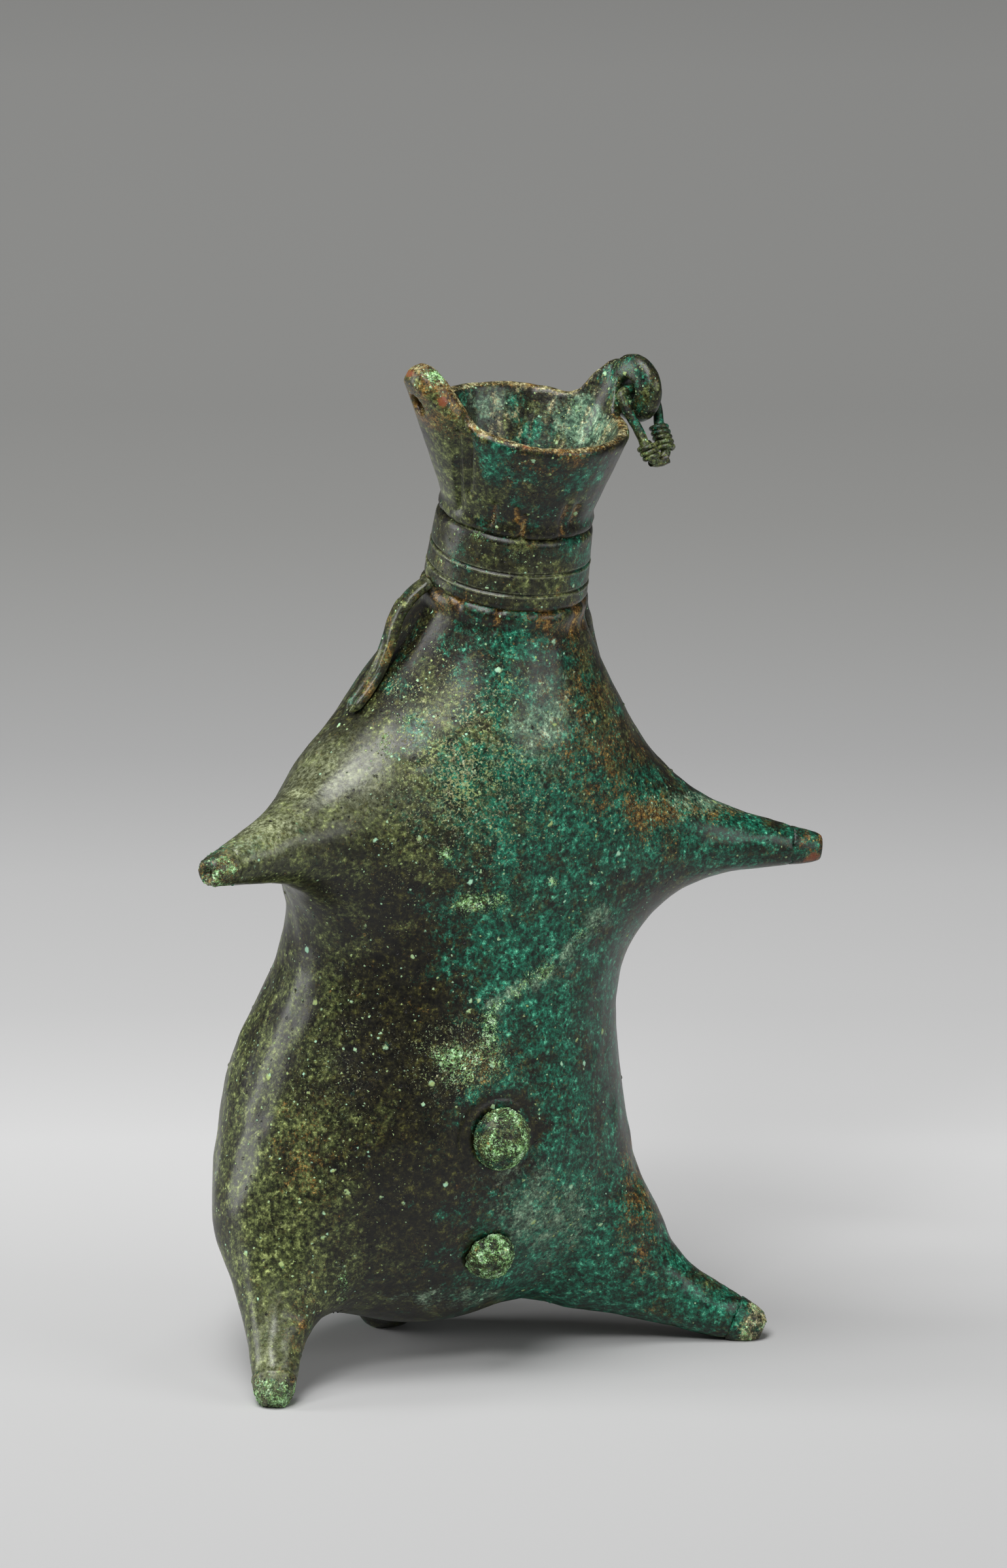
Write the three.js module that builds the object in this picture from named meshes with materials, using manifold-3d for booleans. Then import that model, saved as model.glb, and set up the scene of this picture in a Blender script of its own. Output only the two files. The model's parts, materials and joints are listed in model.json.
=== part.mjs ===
// Bronze oil flask in the form of a whole animal skin, tied at the neck, standing on hind stumps and tail.
// Millimetres, +Z up, belly towards -Y. Shapes are worked out in a stance frame with its origin on the
// ground, midway between the hind stumps. The finished group is moved to have its origin under its middle.
import * as THREE from 'three';
import { mergeVertices } from 'three/addons/utils/BufferGeometryUtils.js';
import Module from 'manifold-3d';

const wasm = await Module();
wasm.setup();

const vector = (x, y, z) => new THREE.Vector3(x, y, z);
const radians = THREE.MathUtils.degToRad;
const { clamp, lerp } = THREE.MathUtils;

// Walls and fits
const CLEARANCE = 0.3;
const SKIN_WALL = 2.2;
const FUNNEL_WALL = 1.7;

// Skin bag: a swollen rump and chest, and a throat that narrows to the neck
const RUMP_HALF_WIDTH = 26;
const RUMP_HALF_DEPTH = 19.6;
const RUMP_HALF_HEIGHT = 25.6;
const CHEST_HALF_WIDTH = 23.6;
const CHEST_HALF_DEPTH = 15.6;
const CHEST_HALF_HEIGHT = 22.8;
const BODY_BLEND = 14.6;
const NECK_RADIUS = 8.2;
const NECK_LEAN_RIGHT = radians(4.4);
const NECK_LEAN_FORWARD = radians(8.6);
const THROAT_SWELL = 3.8;
const THROAT_LENGTH = 19;

// Places on the bag: shares of the rump's or the chest's half-sizes to the right, back and up from its centre
const rumpRadii = vector(RUMP_HALF_WIDTH, RUMP_HALF_DEPTH, RUMP_HALF_HEIGHT);
const chestRadii = vector(CHEST_HALF_WIDTH, CHEST_HALF_DEPTH, CHEST_HALF_HEIGHT);
const RUMP_CENTRE = vector(-0.146, 0.827, 1.139).multiply(rumpRadii);
const onRump = (right, back, up) => vector(right, back, up).multiply(rumpRadii).add(RUMP_CENTRE);
const CHEST_CENTRE = onRump(0.215, -0.133, 1.342);
const onChest = (right, back, up) => vector(right, back, up).multiply(chestRadii).add(CHEST_CENTRE);
const NECK_CENTRE = onChest(0.148, -0.224, 1.645);

// Limb stumps, the haunch over the right hind one and the tail stub, each from its root inside the bag to the
// centre of its round tip. The hind stumps and the tail are cut off flat by the ground
const SOLE_CUT = 0.9;
const FORE_LEFT_ROOT = onChest(-0.818, -0.205, 0.254);
const FORE_LEFT_ROOT_RADIUS = 7.2;
const FORE_LEFT_TIP = onChest(-1.763, -0.731, 0.193);
const FORE_RIGHT_ROOT = onChest(0.623, -0.173, 0.039);
const FORE_RIGHT_ROOT_RADIUS = 7.7;
const FORE_RIGHT_TIP = onChest(1.737, -0.718, -0.127);
const FORE_TIP_RADIUS = 2;
const FORE_BLEND = 10.8;
const HIND_LEFT_ROOT = onRump(-0.858, -0.224, -0.428);
const HIND_LEFT_ROOT_RADIUS = 5.3;
const HIND_LEFT_TIP_RADIUS = 2.6;
const HIND_LEFT_TIP = onRump(-1.108, -0.791, 0).setZ(HIND_LEFT_TIP_RADIUS - SOLE_CUT);
const HIND_RIGHT_ROOT = onRump(0.765, -0.296, -0.74);
const HIND_RIGHT_ROOT_RADIUS = 5.9;
const HIND_RIGHT_TIP_RADIUS = 2.7;
const HIND_RIGHT_TIP = onRump(1.415, -0.806, 0).setZ(HIND_RIGHT_TIP_RADIUS - SOLE_CUT);
const HIND_LEFT_BLEND = 14.5;
const HIND_RIGHT_BLEND = 9;
const HAUNCH_ROOT = onRump(0.454, -0.215, -0.201);
const HAUNCH_ROOT_RADIUS = 7;
const HAUNCH_TIP = onRump(0.823, -0.419, -0.533);
const HAUNCH_TIP_RADIUS = 5.2;
const HAUNCH_BLEND = 9;
const TAIL_ROOT = onRump(0.03, 0.296, -0.67);
const TAIL_ROOT_RADIUS = 6;
const TAIL_TIP_RADIUS = 3.6;
const TAIL_TIP = onRump(0.03, 0.551, 0).setZ(TAIL_TIP_RADIUS - SOLE_CUT);
const TAIL_BLEND = 7;

// Plugs that close the limb stumps
const CAP_LENGTH = 4;
const CAP_END_TRIM = 0.6;
const PEG_RADIUS = 0.7;
const PEG_LENGTH = 2.6;

// Studs on the belly line, placed in shares of the rump's half-sizes from its centre
const BELLY_LINE_RIGHT = 0.023;
const NAVEL_UP = 0.064;
const SHEATH_UP = -0.541;
const NAVEL_RADIUS = 3.9;
const NAVEL_HEIGHT = 2.8;
const SHEATH_RADIUS = 3.2;
const SHEATH_HEIGHT = 2.7;
const STUD_SEAT = 0.9;

// Tie round the neck: three turns parted by two cut grooves, and its two loose ends
const LOWER_TURN = 2.5;
const MIDDLE_TURN = 2.6;
const UPPER_TURN = 4.5;
const TIE_WALL_BOTTOM = 1.9;
const TIE_WALL_TOP = 1.4;
const TURN_CROWN = 0.15;
const GROOVE_WIDTH = 0.6;
const GROOVE_DEPTH = 0.5;
const TIE_END_WIDTH = 2.2;
const TIE_END_THICKNESS = 1.3;
const LEFT_END_DROP = 15.4;
const LEFT_END_ARCH = 1.9;
const LEFT_END_TOP_ANGLE = radians(170);
const LEFT_END_FOOT_ANGLE = radians(182);
const RIGHT_END_DROP = 15;
const RIGHT_END_ARCH = 0.2;
const RIGHT_END_TOP_ANGLE = radians(0);
const RIGHT_END_FOOT_ANGLE = radians(12);

// Mouth funnel, measured up the neck from the middle of the tie
const NECK_WALL = 2;
const FUNNEL_STEP = 0.7;
const RIM_FLARE = 4.2;
const RIM_RISE = 17.5;

// Pierced ears: the left one a pinched fold of the rim, the right one a lens on a rib of the funnel.
// Angles run round the neck from its right side, and the rest is measured from the rim
const EAR_HOLE_RADIUS = 1.4;
const EAR_FULLNESS = 1.3;
const LEFT_EAR_ANGLE = radians(182);
const LEFT_EAR_HALF_WIDTH = 5.6;
const LEFT_EAR_THICKNESS = 4.2;
const LEFT_EAR_HEIGHT = 7.5;
const LEFT_EAR_STANDOFF = 3.7;
const LEFT_SKIRT_SHARE = 0.22;
const LEFT_SKIRT_HALF_WIDTH = 15;
const LEFT_HOLE_DEPTH = 4.6;
const RIGHT_RIB_ANGLE = radians(16);
const RIGHT_RIB_HALF_WIDTH = 3.8;
const RIGHT_RIB_THICKNESS = 2.8;
const RIGHT_RIB_HEIGHT = 5.2;
const LENS_RADIUS = 4.3;
const LENS_THICKNESS = 3.4;
const LENS_RISE = 2.6;
const LENS_STANDOFF = 2.2;
const LENS_ANGLE = radians(2);
const LENS_YAW = radians(12);

// Wire ring in the right ear: two legs, each with the wire's far end wrapped round it
const WIRE_DIAMETER = 1.2;
const WIRE_END_DIAMETER = 0.6;
const WRAP_GAP = 0.47;
const LEG_SPACING = 3.8;
const RING_LENGTH = 9.9;
const RING_HANG = radians(30);
const OUTER_WRAP_TURNS = 3;
const INNER_WRAP_TURNS = 2;

// Fineness of the facets
const SKIN_CELL = 3.8;
const LIMB_CELL = 1.9;
const CAVITY_CELL = 5;
const CAP_CELL = 0.9;
const ROUND_SIDES = 40;
const FUNNEL_SIDES = 56;
const PEG_SIDES = 12;

const TIE_RADIUS_BOTTOM = NECK_RADIUS + TIE_WALL_BOTTOM;
const TIE_RADIUS_TOP = NECK_RADIUS + TIE_WALL_TOP;
const BORE_RADIUS = NECK_RADIUS - NECK_WALL;
const FUNNEL_BASE_RADIUS = NECK_RADIUS + FUNNEL_STEP;
const RIM_RADIUS = NECK_RADIUS + RIM_FLARE;
const TIE_HEIGHT = LOWER_TURN + MIDDLE_TURN + UPPER_TURN;
const TIE_BOTTOM = -TIE_HEIGHT / 2;
const TIE_TOP = TIE_HEIGHT / 2;

// Neck frame: origin in the middle of the tie, third axis up the neck
const neckAxis = vector(Math.tan(NECK_LEAN_RIGHT), -Math.tan(NECK_LEAN_FORWARD), 1).normalize();
const neckRight = vector(1, 0, 0).addScaledVector(neckAxis, -neckAxis.x).normalize();
const neckBack = neckAxis.clone().cross(neckRight);
const neckFrame = new THREE.Matrix4().makeBasis(neckRight, neckBack, neckAxis).setPosition(NECK_CENTRE);
const neckPoint = (radius, angle, rise) =>
  vector(radius * Math.cos(angle), radius * Math.sin(angle), rise).applyMatrix4(neckFrame);

// Solids

function solidFromTriangles(positions, triangles) {
  const vertProperties = Float32Array.from(positions);
  const triVerts = Uint32Array.from(triangles);
  return new wasm.Manifold(new wasm.Mesh({ numProp: 3, vertProperties, triVerts }));
}

function solidFromGeometry(geometry) {
  const bare = new THREE.BufferGeometry();
  bare.setAttribute('position', geometry.attributes.position);
  bare.setIndex(geometry.index);
  const merged = mergeVertices(bare);
  const triangles = [];
  for (let i = 0; i < merged.index.count; i += 3) {
    const [a, b, c] = [0, 1, 2].map((corner) => merged.index.getX(i + corner));
    if (a !== b && b !== c && c !== a) triangles.push(a, b, c);
  }
  return solidFromTriangles(merged.attributes.position.array, triangles);
}

function geometryFromSolid(solid) {
  const mesh = solid.getMesh();
  const geometry = new THREE.BufferGeometry();
  geometry.setAttribute('position', new THREE.BufferAttribute(mesh.vertProperties, 3));
  geometry.setIndex(new THREE.BufferAttribute(mesh.triVerts, 1));
  return geometry;
}

// Turns a shape's +Y axis to a direction and moves its origin to a point
function aim(geometry, origin, direction) {
  const turn = new THREE.Quaternion().setFromUnitVectors(vector(0, 1, 0), direction);
  return geometry.applyQuaternion(turn).translate(origin.x, origin.y, origin.z);
}

// Solid rod between two distances along a direction from an origin
function rod(origin, direction, from, to, radius, sides) {
  const geometry = new THREE.CylinderGeometry(radius, radius, to - from, sides);
  return solidFromGeometry(aim(geometry.translate(0, (from + to) / 2, 0), origin, direction));
}

// Profile of [radius, rise] points turned round an axis
function turned(profile, origin, direction, sides) {
  const points = profile.map(([radius, rise]) => new THREE.Vector2(radius, rise));
  return solidFromGeometry(aim(new THREE.LatheGeometry(points, sides), origin, direction));
}

// Closed rows of points joined into a tube, whose last row joins its first or whose two ends are capped
function loftTriangles(rowCount, rowLength, closesOnItself) {
  const triangles = [];
  const at = (row, point) => (row % rowCount) * rowLength + (point % rowLength);
  for (let row = 0; row < (closesOnItself ? rowCount : rowCount - 1); row++) {
    for (let point = 0; point < rowLength; point++) {
      triangles.push(at(row, point), at(row, point + 1), at(row + 1, point + 1));
      triangles.push(at(row, point), at(row + 1, point + 1), at(row + 1, point));
    }
  }
  if (!closesOnItself) {
    for (let point = 1; point < rowLength - 1; point++) {
      triangles.push(at(0, 0), at(0, point + 1), at(0, point));
      triangles.push(at(rowCount - 1, 0), at(rowCount - 1, point), at(rowCount - 1, point + 1));
    }
  }
  return triangles;
}

// Tube along points, with half its thickness along each point's normal and half its width across
function sweep(points, normals, halfThickness, halfWidth, sides) {
  const positions = [];
  points.forEach((point, i) => {
    const before = points[Math.max(i - 1, 0)];
    const after = points[Math.min(i + 1, points.length - 1)];
    const tangent = after.clone().sub(before).normalize();
    const normal = normals[i].clone().addScaledVector(tangent, -normals[i].dot(tangent)).normalize();
    const across = tangent.clone().cross(normal);
    for (let side = 0; side < sides; side++) {
      const angle = (2 * Math.PI * side) / sides;
      const corner = point.clone().addScaledVector(normal, halfThickness[i] * Math.cos(angle));
      positions.push(...corner.addScaledVector(across, halfWidth[i] * Math.sin(angle)).toArray());
    }
  });
  return solidFromTriangles(positions, loftTriangles(points.length, sides, false));
}

// Normals that turn as little as possible from one point of a path to the next
function carriedNormals(points, firstNormal) {
  const normals = [];
  let normal = firstNormal.clone();
  points.forEach((point, i) => {
    const after = points[Math.min(i + 1, points.length - 1)];
    const tangent = after.clone().sub(points[Math.max(i - 1, 0)]).normalize();
    normal = normal.clone().addScaledVector(tangent, -normal.dot(tangent)).normalize();
    normals.push(normal);
  });
  return normals;
}

// Skin as a field: negative inside, zero on the hide

function smoothMin(a, b, blend) {
  const share = clamp(0.5 + (0.5 * (b - a)) / blend, 0, 1);
  return lerp(b, a, share) - blend * share * (1 - share);
}

function ellipsoidDistance(point, centre, radii) {
  const scaled = point.clone().sub(centre).divide(radii);
  const reach = scaled.length();
  const slope = scaled.divide(radii).length();
  return slope > 0 ? (reach * (reach - 1)) / slope : -Math.min(...radii.toArray());
}

function stumpDistance(point, stump) {
  const axis = stump.tip.clone().sub(stump.root);
  const along = clamp(point.clone().sub(stump.root).dot(axis) / axis.lengthSq(), 0, 1);
  const nearest = stump.root.clone().addScaledVector(axis, along);
  return point.distanceTo(nearest) - lerp(stump.rootRadius, stump.tipRadius, along);
}

const throat = {
  root: NECK_CENTRE.clone().addScaledVector(neckAxis, -THROAT_LENGTH),
  rootRadius: NECK_RADIUS + THROAT_SWELL,
  tip: NECK_CENTRE,
  tipRadius: NECK_RADIUS,
};
const limbs = [
  {
    cap: 'fore_cap_left',
    root: FORE_LEFT_ROOT,
    rootRadius: FORE_LEFT_ROOT_RADIUS,
    tip: FORE_LEFT_TIP,
    tipRadius: FORE_TIP_RADIUS,
    blend: FORE_BLEND,
  },
  {
    cap: 'fore_cap_right',
    root: FORE_RIGHT_ROOT,
    rootRadius: FORE_RIGHT_ROOT_RADIUS,
    tip: FORE_RIGHT_TIP,
    tipRadius: FORE_TIP_RADIUS,
    blend: FORE_BLEND,
  },
  {
    cap: 'hind_cap_left',
    root: HIND_LEFT_ROOT,
    rootRadius: HIND_LEFT_ROOT_RADIUS,
    tip: HIND_LEFT_TIP,
    tipRadius: HIND_LEFT_TIP_RADIUS,
    blend: HIND_LEFT_BLEND,
  },
  {
    cap: 'hind_cap_right',
    root: HIND_RIGHT_ROOT,
    rootRadius: HIND_RIGHT_ROOT_RADIUS,
    tip: HIND_RIGHT_TIP,
    tipRadius: HIND_RIGHT_TIP_RADIUS,
    blend: HIND_RIGHT_BLEND,
  },
];
const haunch = {
  root: HAUNCH_ROOT,
  rootRadius: HAUNCH_ROOT_RADIUS,
  tip: HAUNCH_TIP,
  tipRadius: HAUNCH_TIP_RADIUS,
  blend: HAUNCH_BLEND,
};
const tail = {
  root: TAIL_ROOT,
  rootRadius: TAIL_ROOT_RADIUS,
  tip: TAIL_TIP,
  tipRadius: TAIL_TIP_RADIUS,
  blend: TAIL_BLEND,
};

function bagDistance(point) {
  const rump = ellipsoidDistance(point, RUMP_CENTRE, rumpRadii);
  const chest = ellipsoidDistance(point, CHEST_CENTRE, chestRadii);
  const trunk = smoothMin(rump, chest, BODY_BLEND);
  return smoothMin(trunk, stumpDistance(point, throat), BODY_BLEND);
}

function skinDistance(point) {
  let distance = bagDistance(point);
  for (const stump of [haunch, ...limbs, tail]) {
    distance = smoothMin(distance, stumpDistance(point, stump), stump.blend);
  }
  return distance;
}

function fieldSlope(field, point) {
  const step = CLEARANCE / 10;
  const slope = ['x', 'y', 'z'].map((axis) => {
    const ahead = point.clone();
    const behind = point.clone();
    ahead[axis] += step;
    behind[axis] -= step;
    return (field(ahead) - field(behind)) / (2 * step);
  });
  return vector(...slope);
}

const skinNormal = (point) => fieldSlope(skinDistance, point).normalize();

// Where a straight line from outside first meets the hide
function meetSkin(origin, direction) {
  const point = origin.clone();
  const closeEnough = CLEARANCE / 100;
  const caution = 0.5;
  for (let distance = skinDistance(point); distance > closeEnough; distance = skinDistance(point)) {
    point.addScaledVector(direction, distance * caution);
  }
  return point;
}

// Grid lines of one axis: fine across the given spans, coarse elsewhere
function gridLines(low, high, coarse, fine, fineSpans) {
  const lines = [low];
  while (lines.at(-1) < high) {
    const here = lines.at(-1);
    const isFine = fineSpans.some(([from, to]) => here > from - coarse && here < to);
    lines.push(here + (isFine ? fine : coarse));
  }
  return lines;
}

// Two triangles of a four-cornered facet, parted along its shorter diagonal
function splitQuad(positions, [a, b, c, d]) {
  const corner = (index) => vector(0, 0, 0).fromArray(positions, 3 * index);
  const partsAC = corner(a).distanceTo(corner(c)) < corner(b).distanceTo(corner(d));
  return partsAC ? [a, b, c, a, c, d] : [a, b, d, b, c, d];
}

// Closed mesh of a field's zero surface: one vertex in each cell that the surface crosses, slid onto it
// without leaving the cell
function polygonise(field, [xs, ys, zs]) {
  const count = [xs.length, ys.length, zs.length];
  const nodeAt = (i, j, k) => i + count[0] * (j + count[1] * k);
  const nodePoint = (i, j, k) => vector(xs[i], ys[j], zs[k]);
  const values = new Float64Array(count[0] * count[1] * count[2]);
  for (let k = 0; k < count[2]; k++) {
    for (let j = 0; j < count[1]; j++) {
      for (let i = 0; i < count[0]; i++) values[nodeAt(i, j, k)] = field(nodePoint(i, j, k));
    }
  }

  // Where a grid face's corners lie in and out by turns, the surface would pinch, so a hole there is filled
  function fillPinches() {
    let filled = 0;
    for (let k = 0; k < count[2] - 1; k++) {
      for (let j = 0; j < count[1] - 1; j++) {
        for (let i = 0; i < count[0] - 1; i++) {
          for (let axis = 0; axis < 3; axis++) {
            const face = [[0, 0], [1, 0], [1, 1], [0, 1]].map(([right, up]) => {
              const corner = [i, j, k];
              corner[(axis + 1) % 3] += right;
              corner[(axis + 2) % 3] += up;
              return nodeAt(...corner);
            });
            const [a, b, c, d] = face.map((node) => values[node] < 0);
            if (a === b || a !== c || b !== d) continue;
            const outer = face.filter((node) => values[node] >= 0);
            const nearer = values[outer[0]] < values[outer[1]] ? outer[0] : outer[1];
            values[nearer] = -Math.max(values[nearer], Number.EPSILON);
            filled++;
          }
        }
      }
    }
    return filled;
  }
  let pinches = fillPinches();
  while (pinches > 0) pinches = fillPinches();

  const positions = [];
  const triangles = [];
  const cellVertex = new Map();
  const slides = 4;
  const cellInset = 0.05;
  function vertexOfCell(i, j, k) {
    const cell = nodeAt(i, j, k);
    if (cellVertex.has(cell)) return cellVertex.get(cell);
    const crossings = [];
    for (let axis = 0; axis < 3; axis++) {
      for (let corner = 0; corner < 4; corner++) {
        const start = [i, j, k];
        start[(axis + 1) % 3] += corner & 1;
        start[(axis + 2) % 3] += corner >> 1;
        const end = [...start];
        end[axis] += 1;
        const [a, b] = [values[nodeAt(...start)], values[nodeAt(...end)]];
        if (a < 0 !== b < 0) crossings.push(nodePoint(...start).lerp(nodePoint(...end), a / (a - b)));
      }
    }
    const low = nodePoint(i, j, k);
    const high = nodePoint(i + 1, j + 1, k + 1);
    const inset = high.clone().sub(low).multiplyScalar(cellInset);
    const vertex = vector(0, 0, 0);
    for (const crossing of crossings) vertex.addScaledVector(crossing, 1 / crossings.length);
    for (let slide = 0; slide < slides; slide++) {
      const slope = fieldSlope(field, vertex);
      vertex.addScaledVector(slope, -field(vertex) / slope.lengthSq());
      vertex.clamp(low.clone().add(inset), high.clone().sub(inset));
    }
    const index = positions.length / 3;
    positions.push(...vertex.toArray());
    cellVertex.set(cell, index);
    return index;
  }

  for (let k = 1; k < count[2] - 1; k++) {
    for (let j = 1; j < count[1] - 1; j++) {
      for (let i = 1; i < count[0] - 1; i++) {
        for (let axis = 0; axis < 3; axis++) {
          const start = [i, j, k];
          const end = [...start];
          end[axis] += 1;
          const startInside = values[nodeAt(...start)] < 0;
          if (startInside === values[nodeAt(...end)] < 0) continue;
          const ring = [[1, 1], [0, 1], [0, 0], [1, 0]].map(([back, down]) => {
            const cell = [...start];
            cell[(axis + 1) % 3] -= back;
            cell[(axis + 2) % 3] -= down;
            return vertexOfCell(...cell);
          });
          triangles.push(...splitQuad(positions, startInside ? ring : ring.reverse()));
        }
      }
    }
  }
  return solidFromTriangles(positions, triangles);
}

// Box of grid lines round a set of points, with a margin
function gridAround(points, margin, coarse, fine, fineSpans) {
  const box = new THREE.Box3().setFromPoints(points).expandByScalar(margin);
  const { min, max } = box;
  return ['x', 'y', 'z'].map((axis) => gridLines(min[axis], max[axis], coarse, fine, fineSpans[axis]));
}

// Skin body

function skinShell() {
  const tips = [...limbs, tail];
  const tipSpan = (axis) => ({ tip, tipRadius }) => [tip[axis] - tipRadius, tip[axis] + 2 * tipRadius];
  const corners = [
    ...tips.map(({ tip }) => tip),
    NECK_CENTRE,
    RUMP_CENTRE.clone().sub(rumpRadii),
    RUMP_CENTRE.clone().add(rumpRadii),
    CHEST_CENTRE.clone().sub(chestRadii),
    CHEST_CENTRE.clone().add(chestRadii),
  ];
  const margin = NECK_RADIUS + SKIN_CELL;
  const noSpans = { x: [], y: [], z: [] };
  const fineSpans = { x: [], y: tips.map(tipSpan('y')), z: tips.map(tipSpan('z')) };
  const outside = polygonise(skinDistance, gridAround(corners, margin, SKIN_CELL, LIMB_CELL, fineSpans));
  const cavityDistance = (point) => bagDistance(point) + SKIN_WALL;
  const inside = polygonise(cavityDistance, gridAround(corners, margin, CAVITY_CELL, CAVITY_CELL, noSpans));
  const bore = rod(NECK_CENTRE, neckAxis, -THROAT_LENGTH, CLEARANCE, BORE_RADIUS, ROUND_SIDES);
  return outside.subtract(inside.add(bore));
}

// What the tie and the funnel take off the top of the bag: a collar is left for the tie to sit on
function neckCutter() {
  const reach = 2 * NECK_RADIUS;
  const profile = [
    [0, -CLEARANCE / 2],
    [NECK_RADIUS, -CLEARANCE / 2],
    [NECK_RADIUS, TIE_BOTTOM - CLEARANCE],
    [reach, TIE_BOTTOM - CLEARANCE],
    [reach, reach],
    [0, reach],
  ];
  return turned(profile, NECK_CENTRE, neckAxis, ROUND_SIDES);
}

function groundCutter() {
  const span = 4 * (RUMP_HALF_WIDTH + HIND_RIGHT_ROOT_RADIUS);
  const depth = NECK_RADIUS;
  return solidFromGeometry(new THREE.BoxGeometry(span, span, depth).translate(0, 0, -depth / 2));
}

// Studs: domes in shallow round seats
function studPlace(up) {
  const wellInFront = -2;
  const point = meetSkin(onRump(BELLY_LINE_RIGHT, wellInFront, up), vector(0, 1, 0));
  return { point, normal: skinNormal(point) };
}

function stud(place, radius, height) {
  const foot = CLEARANCE - STUD_SEAT;
  const dome = [0, 22, 45, 68, 90].map((degrees) => {
    const angle = radians(degrees);
    return [radius * Math.cos(angle), height * Math.sin(angle)];
  });
  dome[dome.length - 1][0] = 0;
  return turned([[0, foot], [radius, foot], ...dome], place.point, place.normal, ROUND_SIDES / 2);
}

function studSeat(place, radius) {
  return rod(place.point, place.normal, -STUD_SEAT, radius, radius + CLEARANCE, ROUND_SIDES / 2);
}

// Limb plugs: the round end of each stump past a square cut, with a peg that enters the stump
function limbEnd(limb) {
  const axis = limb.tip.clone().sub(limb.root).normalize();
  const cutPoint = limb.tip.clone().addScaledVector(axis, limb.tipRadius - CAP_LENGTH);
  return { axis, cutPoint };
}

function limbCap(limb) {
  const { axis, cutPoint } = limbEnd(limb);
  const noSpans = { x: [], y: [], z: [] };
  const margin = 2 * (limb.tipRadius + CAP_CELL);
  const behindCut = (point) => cutPoint.clone().sub(point).dot(axis) - CAP_CELL;
  const endDistance = (point) => Math.max(skinDistance(point), behindCut(point));
  const end = polygonise(endDistance, gridAround([limb.tip, cutPoint], margin, CAP_CELL, CAP_CELL, noSpans));
  const keep = rod(cutPoint, axis, CLEARANCE, CAP_LENGTH - CAP_END_TRIM, 2 * limb.tipRadius, PEG_SIDES);
  const peg = rod(cutPoint, axis, -PEG_LENGTH, 2 * CLEARANCE, PEG_RADIUS, PEG_SIDES);
  return end.intersect(keep).add(peg);
}

function limbCutter(limb) {
  const { axis, cutPoint } = limbEnd(limb);
  const off = rod(cutPoint, axis, 0, 2 * CAP_LENGTH, 2 * limb.tipRadius, PEG_SIDES);
  const pegHole = rod(cutPoint, axis, -PEG_LENGTH - CLEARANCE, CLEARANCE, PEG_RADIUS + CLEARANCE, PEG_SIDES);
  return off.add(pegHole);
}

// Tie: three crowned turns with a cut groove between neighbours

function neckTie() {
  const radiusAt = (rise) => lerp(TIE_RADIUS_BOTTOM, TIE_RADIUS_TOP, (rise - TIE_BOTTOM) / TIE_HEIGHT);
  const innerRadius = NECK_RADIUS + CLEARANCE;
  const profile = [[innerRadius, TIE_BOTTOM]];
  let start = TIE_BOTTOM;
  for (const height of [LOWER_TURN, MIDDLE_TURN, UPPER_TURN]) {
    const end = start + height;
    const middle = (start + end) / 2;
    profile.push([radiusAt(start) - GROOVE_DEPTH, start]);
    profile.push([radiusAt(start), start + GROOVE_WIDTH / 2]);
    profile.push([radiusAt(middle) + TURN_CROWN, middle]);
    profile.push([radiusAt(end), end - GROOVE_WIDTH / 2]);
    start = end;
  }
  profile.push([TIE_RADIUS_TOP - GROOVE_DEPTH, TIE_TOP], [innerRadius, TIE_TOP], profile[0]);
  return turned(profile, NECK_CENTRE, neckAxis, ROUND_SIDES);
}

// Loose end of the tie: leaves the tie's lower edge, arches off the hide and comes to lie on it
function tieEnd(topAngle, footAngle, drop, arch) {
  const stations = 13;
  const archCentre = 0.25;
  const archReach = 0.5;
  const endTaper = 0.55;
  const sides = 8;
  const points = [];
  const normals = [];
  const halfThickness = [];
  const halfWidth = [];
  for (let i = 0; i < stations; i++) {
    const along = i / (stations - 1);
    const angle = lerp(topAngle, footAngle, along);
    const rise = TIE_BOTTOM - 2 * CLEARANCE - (endTaper * TIE_END_THICKNESS) / 2 - along * drop;
    const start = neckPoint(2 * CHEST_HALF_WIDTH, angle, rise);
    const inward = neckPoint(0, angle, rise).sub(start).normalize();
    const foot = meetSkin(start, inward);
    const normal = skinNormal(foot);
    const fromArch = Math.min(Math.abs(along - archCentre) / archReach, 1);
    const lift = CLEARANCE + TIE_END_THICKNESS / 2 + arch * Math.cos((Math.PI / 2) * fromArch) ** 2;
    const isEnd = i === 0 || i === stations - 1;
    const taper = isEnd ? endTaper : 1;
    points.push(foot.addScaledVector(normal, lift));
    normals.push(normal);
    halfThickness.push((taper * TIE_END_THICKNESS) / 2);
    halfWidth.push((taper * TIE_END_WIDTH) / 2);
  }
  return sweep(points, normals, halfThickness, halfWidth, sides);
}

// Mouth funnel

const COLLAR_TOP = TIE_TOP + CLEARANCE;
const ears = {
  left: {
    angle: LEFT_EAR_ANGLE,
    halfWidth: LEFT_EAR_HALF_WIDTH,
    thickness: LEFT_EAR_THICKNESS,
    skirtShare: LEFT_SKIRT_SHARE,
    top: RIM_RISE + LEFT_EAR_HEIGHT,
    reach: RIM_RADIUS + LEFT_EAR_STANDOFF,
  },
  right: {
    angle: RIGHT_RIB_ANGLE,
    halfWidth: RIGHT_RIB_HALF_WIDTH,
    thickness: RIGHT_RIB_THICKNESS,
    skirtShare: 0,
    top: RIM_RISE + RIGHT_RIB_HEIGHT,
    reach: RIM_RADIUS + LENS_STANDOFF,
  },
};
const lens = {
  centre: neckPoint(RIM_RADIUS + LENS_STANDOFF, LENS_ANGLE, RIM_RISE + LENS_RISE),
  normal: neckPoint(1, LENS_ANGLE + LENS_YAW, 0).sub(NECK_CENTRE),
};

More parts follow.
